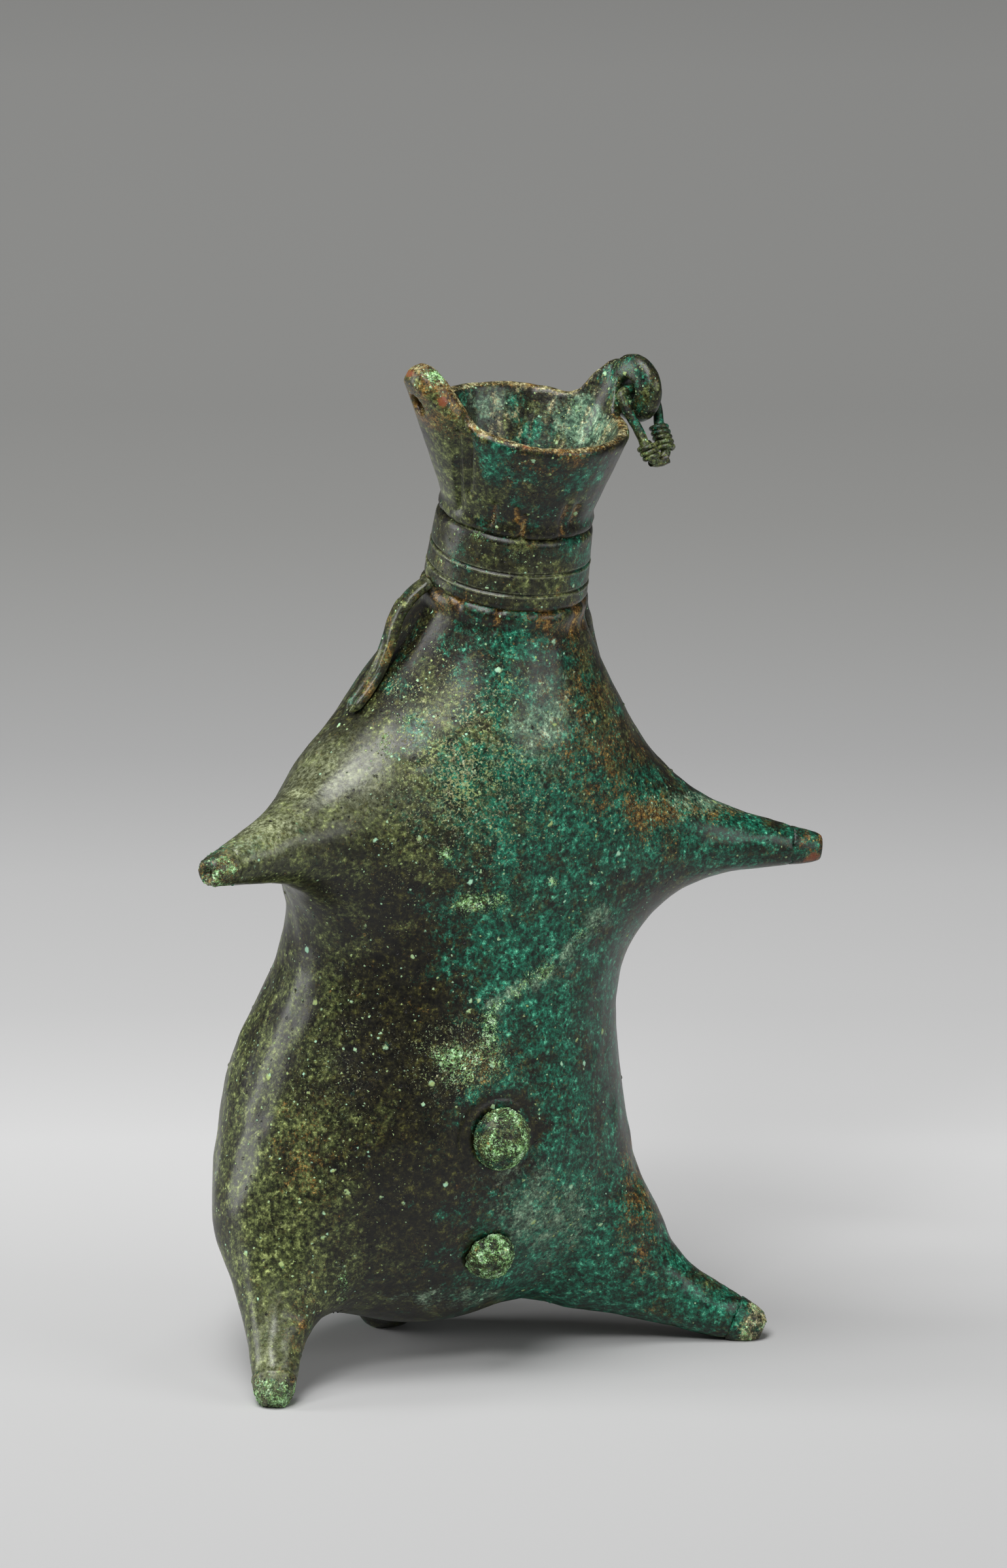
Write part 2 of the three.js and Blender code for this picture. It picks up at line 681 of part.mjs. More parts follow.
// Share of an ear at an angle round the neck: 1 on its crest, falling past its flanks to nothing or to a
// low wide skirt
function ribShare(ear, angle) {
  const turn = Math.atan2(Math.sin(angle - ear.angle), Math.cos(angle - ear.angle));
  const across = Math.abs(turn * RIM_RADIUS);
  const hump = (halfWidth, power) => Math.cos((Math.PI / 2) * Math.min(across / halfWidth, 1)) ** power;
  const skirt = ear.skirtShare * hump(LEFT_SKIRT_HALF_WIDTH, 2);
  return lerp(skirt, 1, hump(ear.halfWidth, EAR_FULLNESS));
}

function funnelProfile(angle) {
  const rows = 5;
  const ear = ribShare(ears.left, angle) > ribShare(ears.right, angle) ? ears.left : ears.right;
  const share = ribShare(ear, angle);
  const top = lerp(RIM_RISE, ear.top, share);
  const outerTop = lerp(RIM_RADIUS, ear.reach + ear.thickness / 2, share);
  const innerTop = lerp(RIM_RADIUS - FUNNEL_WALL, ear.reach - ear.thickness / 2, share);
  const rim = (outerTop - innerTop) / 2;
  const shoulder = top - rim;
  const profile = [[NECK_RADIUS, CLEARANCE / 2], [NECK_RADIUS, COLLAR_TOP]];
  for (let row = 0; row <= rows; row++) {
    profile.push([lerp(FUNNEL_BASE_RADIUS, outerTop, row / rows), lerp(COLLAR_TOP, shoulder, row / rows)]);
  }
  for (const degrees of [45, 90, 135]) {
    const turn = radians(degrees);
    profile.push([(outerTop + innerTop) / 2 + rim * Math.cos(turn), shoulder + rim * Math.sin(turn)]);
  }
  for (let row = rows; row >= 0; row--) {
    profile.push([lerp(BORE_RADIUS, innerTop, row / rows), lerp(COLLAR_TOP, shoulder, row / rows)]);
  }
  profile.push([BORE_RADIUS, CLEARANCE / 2]);
  return profile;
}

// Hole square through the left ear's fold, on the middle of its thickness
function leftHole() {
  const foot = new THREE.Vector2((FUNNEL_BASE_RADIUS + BORE_RADIUS) / 2, COLLAR_TOP);
  const crest = new THREE.Vector2(ears.left.reach, ears.left.top);
  const upFold = crest.clone().sub(foot).normalize();
  const middle = crest.addScaledVector(upFold, -LEFT_HOLE_DEPTH);
  const normal = neckPoint(upFold.y, ears.left.angle, -upFold.x).sub(NECK_CENTRE);
  const drill = 2 * LEFT_EAR_THICKNESS;
  const centre = neckPoint(middle.x, ears.left.angle, middle.y);
  return rod(centre, normal, -drill, drill, EAR_HOLE_RADIUS, ROUND_SIDES / 2);
}

// Lens of the right ear, full at the hole and round at the edge
function lensBody() {
  const half = LENS_THICKNESS / 2;
  const fullness = 0.6;
  const profile = [-60, -36, -12, 12, 36, 60].map((degrees) => {
    const angle = radians(degrees);
    return [LENS_RADIUS * Math.cos(angle) ** fullness, half * Math.sin(angle)];
  });
  return turned([[0, -half], ...profile, [0, half]], lens.centre, lens.normal, ROUND_SIDES / 2);
}

function mouthFunnel() {
  const positions = [];
  const crowding = 0.3;
  const earLine = (LEFT_EAR_ANGLE + RIGHT_RIB_ANGLE - Math.PI) / 2;
  let rowLength = 0;
  for (let side = 0; side < FUNNEL_SIDES; side++) {
    const even = (2 * Math.PI * side) / FUNNEL_SIDES;
    const angle = earLine + even - crowding * Math.sin(2 * even);
    const profile = funnelProfile(angle);
    rowLength = profile.length;
    for (const [radius, rise] of profile) positions.push(...neckPoint(radius, angle, rise).toArray());
  }
  const triangles = loftTriangles(FUNNEL_SIDES, rowLength, true);
  const cone = solidFromTriangles(positions, triangles.reverse());
  const rightHole = rod(
    lens.centre, lens.normal, -2 * LENS_THICKNESS, 2 * LENS_THICKNESS, EAR_HOLE_RADIUS, ROUND_SIDES / 2);
  return cone.add(lensBody()).subtract(leftHole()).subtract(rightHole);
}

// Wire ring: one wire from wrap to wrap, through the right ear

const wrapRadius = WIRE_DIAMETER / 2 + WRAP_GAP + WIRE_END_DIAMETER / 2;
const wrapTop = LENS_RADIUS + CLEARANCE + WIRE_END_DIAMETER / 2;

// Ring axes: across the ear, down the ring, out of the ring's plane
function ringFrame() {
  const { centre, normal } = lens;
  const down = vector(0, 0, -1).addScaledVector(normal, normal.z).normalize();
  const front = down.clone().cross(normal);
  const hang = down.multiplyScalar(Math.cos(RING_HANG)).addScaledVector(front, Math.sin(RING_HANG));
  return new THREE.Matrix4().makeBasis(normal, hang, normal.clone().cross(hang)).setPosition(centre);
}

// Wrap from its free end, just past the lens, down the outer leg to where it leaves across the ring
function wrap(turns) {
  const stepsPerTurn = 24;
  const pitch = WIRE_END_DIAMETER + WRAP_GAP;
  const points = [];
  for (let step = 0; step <= turns * stepsPerTurn; step++) {
    const turn = step / stepsPerTurn;
    const angle = Math.PI / 2 + 2 * Math.PI * (turn - turns);
    const across = LEG_SPACING / 2 + wrapRadius * Math.cos(angle);
    points.push(vector(across, wrapTop + pitch * turn, wrapRadius * Math.sin(angle)));
  }
  return points;
}

// Half of the loop, past the wrap on the outer leg: across the foot, up the inner leg and into the hole
function halfLoop() {
  const leg = LEG_SPACING / 2;
  const footBend = leg / 2;
  const footRound = footBend * (1 - Math.SQRT1_2);
  const cheek = LENS_THICKNESS / 2 + CLEARANCE + WIRE_DIAMETER / 2;
  const holeBend = EAR_HOLE_RADIUS;
  const slant = Math.SQRT1_2;
  return [
    vector(0, RING_LENGTH, wrapRadius * slant),
    vector(-leg + footRound, RING_LENGTH - footRound, (wrapRadius * (1 - slant)) / 2),
    vector(-leg, RING_LENGTH - 2 * footBend, 0),
    vector(-leg, wrapTop, 0),
    vector(-cheek, wrapTop / 2, 0),
    vector(-cheek, holeBend, 0),
    vector(-cheek + holeBend * (1 - slant), holeBend * (1 - slant), 0),
    vector(-cheek + holeBend, 0, 0),
  ];
}

// Half a turn about the ring's long axis, which takes each leg to the other
const swapLegs = (points) => points.map(({ x, y, z }) => vector(-x, y, -z)).reverse();

function ringPath() {
  const loopSteps = 72;
  const swellSteps = 12;
  const outerWrap = wrap(OUTER_WRAP_TURNS);
  const innerWrap = swapLegs(wrap(INNER_WRAP_TURNS));
  const corners = [outerWrap.at(-1), ...halfLoop(), ...swapLegs(halfLoop()), innerWrap[0]];
  const curve = new THREE.CatmullRomCurve3(corners, false, 'centripetal');
  const loop = curve.getSpacedPoints(loopSteps).slice(1, -1);
  const points = [...outerWrap, ...loop, ...innerWrap];
  const radii = points.map((point, i) => {
    const fromWrap = Math.min(i - outerWrap.length, points.length - innerWrap.length - 1 - i);
    return lerp(WIRE_END_DIAMETER, WIRE_DIAMETER, clamp(fromWrap / swellSteps, 0, 1)) / 2;
  });
  return { points, radii };
}

// Least gap between parts of the wire that are further apart along it than a few diameters
function leastGap(points, radii) {
  let least = Infinity;
  const reach = [0];
  for (let i = 1; i < points.length; i++) reach.push(reach[i - 1] + points[i].distanceTo(points[i - 1]));
  for (let i = 0; i < points.length; i++) {
    for (let j = i + 1; j < points.length; j++) {
      if (reach[j] - reach[i] < 3 * WIRE_DIAMETER) continue;
      least = Math.min(least, points[i].distanceTo(points[j]) - radii[i] - radii[j]);
    }
  }
  return least;
}

function suspensionRing() {
  const sides = 6;
  const { points, radii } = ringPath();
  console.log(`wire ring: least gap to itself ${leastGap(points, radii).toFixed(2)} mm`);
  const frame = ringFrame();
  for (const point of points) point.applyMatrix4(frame);
  return sweep(points, carriedNormals(points, vector(0, 0, 1)), radii, radii, sides);
}

// Assembly

const bronze = (color, roughness, metalness) =>
  new THREE.MeshStandardMaterial({ color, roughness, metalness });
const part = new THREE.Group();

function addPiece(name, solid, material) {
  const mesh = new THREE.Mesh(geometryFromSolid(solid), material);
  mesh.name = name;
  part.add(mesh);
}

const navel = studPlace(NAVEL_UP);
const sheath = studPlace(SHEATH_UP);
const ground = groundCutter();

let skin = skinShell().subtract(neckCutter()).subtract(ground);
skin = skin.subtract(studSeat(navel, NAVEL_RADIUS)).subtract(studSeat(sheath, SHEATH_RADIUS));
for (const limb of limbs) skin = skin.subtract(limbCutter(limb));

const leftEnd = tieEnd(LEFT_END_TOP_ANGLE, LEFT_END_FOOT_ANGLE, LEFT_END_DROP, LEFT_END_ARCH);
const rightEnd = tieEnd(RIGHT_END_TOP_ANGLE, RIGHT_END_FOOT_ANGLE, RIGHT_END_DROP, RIGHT_END_ARCH);

addPiece('skin_body', skin, bronze(0x2c3a2a, 0.45, 0.7));
addPiece('mouth_funnel', mouthFunnel(), bronze(0x39493a, 0.45, 0.7));
addPiece('neck_tie', neckTie(), bronze(0x45452a, 0.5, 0.65));
addPiece('tie_end_left', leftEnd, bronze(0x4a4a2c, 0.5, 0.65));
addPiece('tie_end_right', rightEnd, bronze(0x4a4a2c, 0.5, 0.65));
addPiece('navel_boss', stud(navel, NAVEL_RADIUS, NAVEL_HEIGHT), bronze(0x5d8a5a, 0.8, 0.2));
addPiece('sheath_boss', stud(sheath, SHEATH_RADIUS, SHEATH_HEIGHT), bronze(0x5d8a5a, 0.8, 0.2));
for (const limb of limbs) addPiece(limb.cap, limbCap(limb).subtract(ground), bronze(0x4d7357, 0.6, 0.5));
addPiece('suspension_ring', suspensionRing(), bronze(0x4f6b50, 0.55, 0.6));

const bounds = new THREE.Box3().setFromObject(part);
const base = bounds.getCenter(vector(0, 0, 0)).setZ(bounds.min.z);
part.position.copy(base).negate();

export default part;
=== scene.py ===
"""Looks of the bronze oil flask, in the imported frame: patinated skin, tied neck, mouth and wire ring."""
import json
import math

import bmesh
import bpy
import numpy as np
from mathutils import Matrix, Vector, noise
from mathutils.bvhtree import BVHTree


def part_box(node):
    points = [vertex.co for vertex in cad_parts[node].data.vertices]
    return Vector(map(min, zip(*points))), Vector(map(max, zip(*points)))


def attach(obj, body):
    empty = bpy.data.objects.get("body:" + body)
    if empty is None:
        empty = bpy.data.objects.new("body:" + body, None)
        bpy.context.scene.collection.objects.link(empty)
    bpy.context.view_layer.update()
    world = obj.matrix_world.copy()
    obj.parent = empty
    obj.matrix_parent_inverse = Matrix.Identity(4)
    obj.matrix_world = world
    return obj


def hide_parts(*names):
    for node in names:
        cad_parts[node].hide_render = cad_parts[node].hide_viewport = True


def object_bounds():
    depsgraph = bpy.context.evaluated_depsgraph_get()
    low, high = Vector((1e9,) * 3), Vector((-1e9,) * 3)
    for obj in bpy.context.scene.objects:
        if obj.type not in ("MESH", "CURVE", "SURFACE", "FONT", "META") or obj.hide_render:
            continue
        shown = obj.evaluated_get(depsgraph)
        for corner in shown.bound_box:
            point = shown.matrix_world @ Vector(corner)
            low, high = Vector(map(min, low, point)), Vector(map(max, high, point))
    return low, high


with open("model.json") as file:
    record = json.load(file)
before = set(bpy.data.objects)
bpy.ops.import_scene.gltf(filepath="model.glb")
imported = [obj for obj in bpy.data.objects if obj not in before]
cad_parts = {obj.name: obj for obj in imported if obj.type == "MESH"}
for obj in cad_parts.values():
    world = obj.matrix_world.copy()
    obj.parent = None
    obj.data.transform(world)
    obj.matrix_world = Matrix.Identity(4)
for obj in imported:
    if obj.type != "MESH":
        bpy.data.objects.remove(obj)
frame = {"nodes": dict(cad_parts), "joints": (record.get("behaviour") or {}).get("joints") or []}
cad_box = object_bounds()
scene = bpy.context.scene
scene.view_settings.view_transform = "Standard"

MM = 0.001

# Viewpoint of the photograph, and the pixel in which the ground between the hind stumps is seen
PIXEL_MM = 0.08
PHOTO_HEIGHT = 2398
PHOTO_CENTRE = (770, 1199)
STANCE_PIXEL = (782.5, 2099)
STANCE_MM = np.array((-1.478, -14.815, 0.0))
VIEW_TURN = math.radians(-28.5)
VIEW_TILT = math.radians(14.5)
VIEW_DISTANCE_MM = 4000
SENSOR_MM = 24
VIEW_REACH_M = 100

view_forward = np.array((-math.sin(VIEW_TURN), math.cos(VIEW_TURN), 0.0))
view_right = np.array((math.cos(VIEW_TURN), math.sin(VIEW_TURN), 0.0))
view_back = np.array((0.0, 0.0, math.sin(VIEW_TILT))) - view_forward * math.cos(VIEW_TILT)
view_up = np.cross(view_back, view_right)

# Neck of the skin, with its origin in the middle of the tie
NECK_CENTRE_MM = np.array((3.809, -4.707, 101.02))
NECK_LEAN_RIGHT = math.radians(4.4)
NECK_LEAN_FORWARD = math.radians(8.6)
NECK_RADIUS_MM = 8.2
TIE_TURNS_MM = (2.5, 2.6, 4.5)
TIE_TOP_MM = sum(TIE_TURNS_MM) / 2
RIM_RISE_MM = 17.5

neck_axis = np.array((math.tan(NECK_LEAN_RIGHT), -math.tan(NECK_LEAN_FORWARD), 1.0))
neck_axis /= np.linalg.norm(neck_axis)
neck_right = np.array((1.0, 0.0, 0.0)) - neck_axis * neck_axis[0]
neck_right /= np.linalg.norm(neck_right)
neck_back = np.cross(neck_axis, neck_right)

# Colours of the patina, as they look in even light
TONES = {
    "yellow_green": "a3b670",
    "pale_mint": "ace0be",
    "cuprite": "844730",
    "pit_black": "0c0a08",
}
# Mixtures of the patina, each from its deepest tone to its palest
MIXTURES = {
    "brown": ("0a0905", "141309", "252310", "545528"),
    "olive": ("1b1f10", "394022", "626b3d", "9aa568"),
    "teal": ("07251b", "104a37", "1d7057", "6bc49d"),
    "rust": ("26190b", "533a16", "846530", "bda25c"),
    # The film mixture is partly a real grey-green film and partly painted sheen and reflection
    "film": ("2b4234", "4f6d57", "7f9d80", "c0d9bb"),
    "bone": ("474128", "827a53", "bbb48a", "e7e7c0"),
    # The worn mixture is paler than the wear alone: painted highlight over worn bronze
    "worn_and_highlit": ("42452f", "727856", "a2a984", "d0d7b2"),
    "crust": ("1f351a", "7aa862", "b2e0aa", "e6efd8"),
}


def colour(hex_digits):
    """Linear colour of six hex digits."""
    shares = [int(hex_digits[i:i + 2], 16) / 255 for i in (0, 2, 4)]
    return (*[s / 12.92 if s < 0.04045 else ((s + 0.055) / 1.055) ** 2.4 for s in shares], 1.0)


def tone(name):
    return colour(TONES[name])


def mixture(name):
    return dict(zip(("Deep", "Dark", "Light", "Pale"), map(colour, MIXTURES[name])))


# Node building

# Places of the colour sockets among all the sockets of a mix node
MIX_COLOUR_INPUTS = (0, 6, 7)
MIX_COLOUR_OUTPUT = 2


class Finish:
    """Nodes of one material, or of one node group."""

    def __init__(self, name, tree=None):
        self.material = None
        if tree is None:
            self.material = bpy.data.materials.new(name)
            self.material.use_nodes = True
            tree = self.material.node_tree
        self.tree = tree

    def feed(self, socket, value):
        if isinstance(value, bpy.types.NodeSocket):
            self.tree.links.new(value, socket)
        else:
            socket.default_value = value

    def add(self, kind, settings=None, **inputs):
        node = self.tree.nodes.new(kind)
        for name, value in (settings or {}).items():
            setattr(node, name, value)
        for name, value in inputs.items():
            self.feed(node.inputs[name.replace("_", " ")], value)
        return node

    def use(self, group, **inputs):
        return self.add("ShaderNodeGroup", {"node_tree": group}, **inputs).outputs[0]

    def sum(self, operation, *values):
        node = self.add("ShaderNodeMath", {"operation": operation})
        for socket, value in zip(node.inputs, values):
            self.feed(socket, value)
        return node.outputs[0]

    def blend(self, mask, under, over, kind="MIX"):
        node = self.add("ShaderNodeMix", {"data_type": "RGBA", "blend_type": kind})
        for index, value in zip(MIX_COLOUR_INPUTS, (mask, under, over)):
            self.feed(node.inputs[index], value)
        return node.outputs[MIX_COLOUR_OUTPUT]

    def spread(self, value, low, high, to_low=0.0, to_high=1.0, kind="LINEAR"):
        limits = {"From_Min": low, "From_Max": high, "To_Min": to_low, "To_Max": to_high}
        return self.add("ShaderNodeMapRange", {"interpolation_type": kind}, Value=value, **limits).outputs[0]

    def clouds(self, place, scale, detail, roughness=0.5):
        """Value and colour of soft noise."""
        node = self.add("ShaderNodeTexNoise", Vector=place, Scale=scale, Detail=detail, Roughness=roughness)
        return node.outputs[0], node.outputs[1]

    def attribute(self, name):
        return self.add("ShaderNodeAttribute", {"attribute_name": name}).outputs["Fac"]

    def place_mm(self):
        place = self.add("ShaderNodeTexCoord").outputs["Object"]
        return self.add("ShaderNodeMapping", Vector=place, Scale=(1 / MM,) * 3).outputs[0]

    def shade(self, **inputs):
        shader = self.tree.nodes["Principled BSDF"]
        for name, value in inputs.items():
            self.feed(shader.inputs[name.replace("_", " ")], value)


FLOAT = "NodeSocketFloat"
VECTOR = "NodeSocketVector"
COLOUR = "NodeSocketColor"
GEOMETRY = "NodeSocketGeometry"
MATERIAL = "NodeSocketMaterial"


def node_group(kind, name, inputs, output, output_kind):
    """Empty node group: the finish to build it in, its given inputs, and the socket to feed its output to."""
    tree = bpy.data.node_groups.new(name, kind)
    for socket, socket_kind in inputs.items():
        tree.interface.new_socket(socket, in_out="INPUT", socket_type=socket_kind)
    tree.interface.new_socket(output, in_out="OUTPUT", socket_type=output_kind)
    given = tree.nodes.new("NodeGroupInput").outputs
    return Finish(name, tree), given, tree.nodes.new("NodeGroupOutput").inputs[output]


# Noise levels above which a blotch shows at no cover and at full cover, and how much finer its grain is
COVER_LEVELS = (0.76, 0.28)
BLOTCH_GRAINS = 6.3


def make_blotches():
    """Cloudy patches of a size in mm, broken up by fine grain, that cover a share of the surface."""
    inputs = {"Place": VECTOR, "Size": FLOAT, "Cover": FLOAT, "Edge": FLOAT, "Grain": FLOAT}
    finish, given, mask = node_group("ShaderNodeTree", "patina blotches", inputs, "Mask", FLOAT)
    scale = finish.sum("DIVIDE", 1.0, given["Size"])
    fine_scale = finish.sum("MULTIPLY", scale, BLOTCH_GRAINS)
    cloud, _ = finish.clouds(given["Place"], scale, detail=4.0, roughness=0.6)
    fine, _ = finish.clouds(given["Place"], fine_scale, detail=3.0, roughness=0.7)
    grainy = finish.sum("MULTIPLY_ADD", finish.sum("SUBTRACT", fine, cloud), given["Grain"], cloud)
    level = finish.spread(given["Cover"], 0.0, 1.0, *COVER_LEVELS)
    low = finish.sum("SUBTRACT", level, given["Edge"])
    high = finish.sum("ADD", level, given["Edge"])
    finish.feed(mask, finish.spread(grainy, low, high, kind="SMOOTHSTEP"))
    return finish.tree


# Specks, in shares of their cell: smallest radius, how much larger the largest is, and depth of their rags
SPECK_LEAST = 0.12
SPECK_MORE = 0.26
SPECK_RAGGED = 0.5
# Rags across a cell, how rare large specks are, and the share of a speck's radius that its core takes up
SPECK_RAGS = 3.0
SPECK_RARITY = 3.0
SPECK_CORE = 0.5


def make_specks():
    """Single ragged specks, one at most in each cell of a size in mm, in a share of the cells."""
    inputs = {"Place": VECTOR, "Size": FLOAT, "Share": FLOAT}
    finish, given, mask = node_group("ShaderNodeTree", "patina specks", inputs, "Mask", FLOAT)
    scale = finish.sum("DIVIDE", 1.0, given["Size"])
    _, ragged = finish.clouds(given["Place"], finish.sum("MULTIPLY", scale, SPECK_RAGS), detail=2.0)
    ragged_mm = finish.sum("MULTIPLY", given["Size"], SPECK_RAGGED)
    shift = finish.add("ShaderNodeVectorMath", {"operation": "SCALE"}, Vector=ragged, Scale=ragged_mm)
    moved = finish.add("ShaderNodeVectorMath", {"operation": "ADD"})
    finish.feed(moved.inputs[0], given["Place"])
    finish.feed(moved.inputs[1], shift.outputs[0])
    cells = finish.add("ShaderNodeTexVoronoi", Vector=moved.outputs[0], Scale=scale)
    chance = finish.add("ShaderNodeSeparateColor", Color=cells.outputs["Color"])
    present = finish.sum("LESS_THAN", chance.outputs[0], given["Share"])
    larger = finish.sum("POWER", chance.outputs[1], SPECK_RARITY)
    reach = finish.sum("MULTIPLY_ADD", larger, SPECK_MORE, SPECK_LEAST)
    core = finish.sum("MULTIPLY", reach, SPECK_CORE)
    spot = finish.spread(cells.outputs["Distance"], reach, core, kind="SMOOTHSTEP")
    finish.feed(mask, finish.sum("MULTIPLY", spot, present))
    return finish.tree


def make_grain():
    """Fine sandy grain of a size in mm, about 0.5 on the level."""
    inputs = {"Place": VECTOR, "Size": FLOAT}
    finish, given, height = node_group("ShaderNodeTree", "cast grain", inputs, "Height", FLOAT)
    scale = finish.sum("DIVIDE", 1.0, given["Size"])
    sand, _ = finish.clouds(given["Place"], scale, detail=3.0, roughness=0.7)
    finish.feed(height, sand)
    return finish.tree


# Noise levels between which each tone of a mixture comes in over the deeper ones
MOTTLE_LEVELS = {"Dark": (0.4, 0.48), "Light": (0.48, 0.57), "Pale": (0.57, 0.67)}


def make_mottle():
    """Cloudy mixture of four tones, of a size in mm."""
    inputs = {"Place": VECTOR, "Size": FLOAT, "Deep": COLOUR, "Dark": COLOUR, "Light": COLOUR, "Pale": COLOUR}
    finish, given, mottled = node_group("ShaderNodeTree", "patina mottle", inputs, "Mixed", COLOUR)
    scale = finish.sum("DIVIDE", 1.0, given["Size"])
    cloud, _ = finish.clouds(given["Place"], scale, detail=6.0, roughness=0.78)
    tones = given["Deep"]
    for name, levels in MOTTLE_LEVELS.items():
        tones = finish.blend(finish.spread(cloud, *levels), tones, given[name])
    finish.feed(mottled, tones)
    return finish.tree


BLOTCHES = make_blotches()
MOTTLE = make_mottle()
SPECKS = make_specks()
GRAIN = make_grain()
TINTS = ("olive", "teal", "film", "rust", "bone", "mint", "pale", "cuprite", "crest", "pitted")

# Size of the mottling of each mixture, in mm
MOTTLE_MM = {
    "brown": 1.1,
    "olive": 0.9,
    "teal": 1.0,
    "film": 1.6,
    "rust": 0.8,
    "bone": 0.7,
    "worn_and_highlit": 0.6,
    "crust": 0.75,
}
BLOOM_MOTTLE_MM = 0.5

# Cast grain, and the levels of it between which the ground goes from its darkest shade to its brightest
SAND_MM = 0.44
SAND_LEVELS = (0.34, 0.66)
SAND_SHADES = (0.2, 1.8)

# Shares of the mint tint that show as bloom, as spots and as smaller spots
BLOOM_SHARE = 0.56
SPOT_SHARE = 0.5
SMALL_SPOT_SHARE = 0.8
SMALL_SPOT_SIZE = 0.45

# Pits all over the bronze, and larger ones in pitted places
PIT_MM = 0.7
PIT_SHARE = 0.25
LARGE_PIT_MM = 1.3

# How much each layer hides of what lies under it
STRENGTHS = {"bloom": 0.75, "spots": 0.9, "crust": 0.92, "cuprite": 0.8, "crest": 0.85, "pits": 0.92}

# How far bloom counts as mineral, the roughness that minerals, worn crests and grain add, and the relief
BLOOM_MINERAL = 0.6
MINERAL_ROUGHNESS = 0.3
CREST_ROUGHNESS = -0.12
SAND_ROUGHNESS = 0.24
SAND_RELIEF_MM = 0.024
MINERAL_RELIEF_MM = 0.05
PIT_RELIEF_MM = -0.12
BRONZE_SPECULAR = 0.4


def bronze_patina(name, patch_mm, speck_mm, roughness=0.34):
    """Bronze under its patina, where each tint covers the share that the piece's own attribute gives."""
    finish = Finish(name)
    place = finish.place_mm()
    share = {tint_name: finish.attribute(tint_name) for tint_name in TINTS}

    def blotch(size, cover, edge, grain=0.5):
        return finish.use(BLOTCHES, Place=place, Size=size, Cover=cover, Edge=edge, Grain=grain)

    def speck(size, cover):
        return finish.use(SPECKS, Place=place, Size=size, Share=cover)

    def part_of(value, amount):
        return finish.sum("MULTIPLY", value, amount)

    def mottle(name, size=None):
        return finish.use(MOTTLE, Place=place, Size=size or MOTTLE_MM[name], **mixture(name))

    def lay(under, layer, mask, over):
        return finish.blend(part_of(mask, STRENGTHS[layer]), under, over)

    # Size, softness of the edge and grain of the patches of each tint, from the lowest to the highest
    layers = {
        "olive": (patch_mm, 0.1, 0.5),
        "teal": (0.75 * patch_mm, 0.1, 0.5),
        "film": (2.4, 0.12, 0.5),
        # Partly painted sheen and reflection
        "rust": (1.9, 0.07, 0.6),
        "bone": (1.6, 0.08, 0.5),
    }
    ground = mottle("brown")
    for layer, (size, edge, grain) in layers.items():
        ground = finish.blend(blotch(size, share[layer], edge, grain), ground, mottle(layer))
    sand = finish.use(GRAIN, Place=place, Size=SAND_MM)
    shade = finish.spread(sand, *SAND_LEVELS, *SAND_SHADES)
    ground = finish.blend(1.0, ground, shade, "MULTIPLY")

    bloom = blotch(size=1.8, cover=part_of(share["mint"], BLOOM_SHARE), edge=0.026, grain=0.85)
    yellow = blotch(size=3.2, cover=0.5, edge=0.12, grain=0.4)
    filmy = blotch(size=2.7, cover=0.42, edge=0.12, grain=0.4)
    bloom_tone = finish.blend(yellow, mottle("bone", BLOOM_MOTTLE_MM), tone("yellow_green"))
    bloom_tone = finish.blend(filmy, bloom_tone, mottle("film", BLOOM_MOTTLE_MM))
    ground = lay(ground, "bloom", bloom, bloom_tone)

    large_spots = speck(speck_mm, part_of(share["mint"], SPOT_SHARE))
    small_spots = speck(SMALL_SPOT_SIZE * speck_mm, part_of(share["mint"], SMALL_SPOT_SHARE))
    spots = finish.sum("MAXIMUM", large_spots, small_spots)
    minty = blotch(size=2.5, cover=0.5, edge=0.1, grain=0.2)
    ground = lay(ground, "spots", spots, finish.blend(minty, tone("yellow_green"), tone("pale_mint")))

    crust = blotch(size=1.3, cover=share["pale"], edge=0.035, grain=0.65)
    rusty = blotch(size=1.6, cover=0.34, edge=0.05)
    crust_tone = finish.blend(rusty, mottle("crust"), mottle("rust"))
    ground = lay(ground, "crust", crust, finish.blend(1.0, crust_tone, shade, "MULTIPLY"))
    cuprite = blotch(size=1.0, cover=share["cuprite"], edge=0.05)
    ground = lay(ground, "cuprite", cuprite, tone("cuprite"))
    # Worn places, with painted highlight on the left shoulder, the left limbs and raised edges
    ground = lay(ground, "crest", share["crest"], mottle("worn_and_highlit"))
    pits = finish.sum("MAXIMUM", speck(PIT_MM, PIT_SHARE), speck(LARGE_PIT_MM, share["pitted"]))
    ground = lay(ground, "pits", pits, tone("pit_black"))

    mineral = finish.sum("MAXIMUM", finish.sum("MAXIMUM", spots, crust), part_of(bloom, BLOOM_MINERAL))
    gloss = finish.sum("MULTIPLY_ADD", mineral, MINERAL_ROUGHNESS, roughness)
    gloss = finish.sum("MULTIPLY_ADD", share["crest"], CREST_ROUGHNESS, gloss)
    gloss = finish.sum("SUBTRACT", gloss, SAND_ROUGHNESS / 2)
    gloss = finish.sum("MULTIPLY_ADD", sand, SAND_ROUGHNESS, gloss)
    relief = part_of(sand, SAND_RELIEF_MM)
    relief = finish.sum("MULTIPLY_ADD", mineral, MINERAL_RELIEF_MM, relief)
    relief = finish.sum("MULTIPLY_ADD", pits, PIT_RELIEF_MM, relief)
    bump = finish.add("ShaderNodeBump", Height=relief, Strength=1.0, Distance=MM).outputs[0]
    finish.shade(Base_Color=ground, Roughness=gloss, Normal=bump, Specular_IOR_Level=BRONZE_SPECULAR)
    return finish.material


# Camera, floor and light


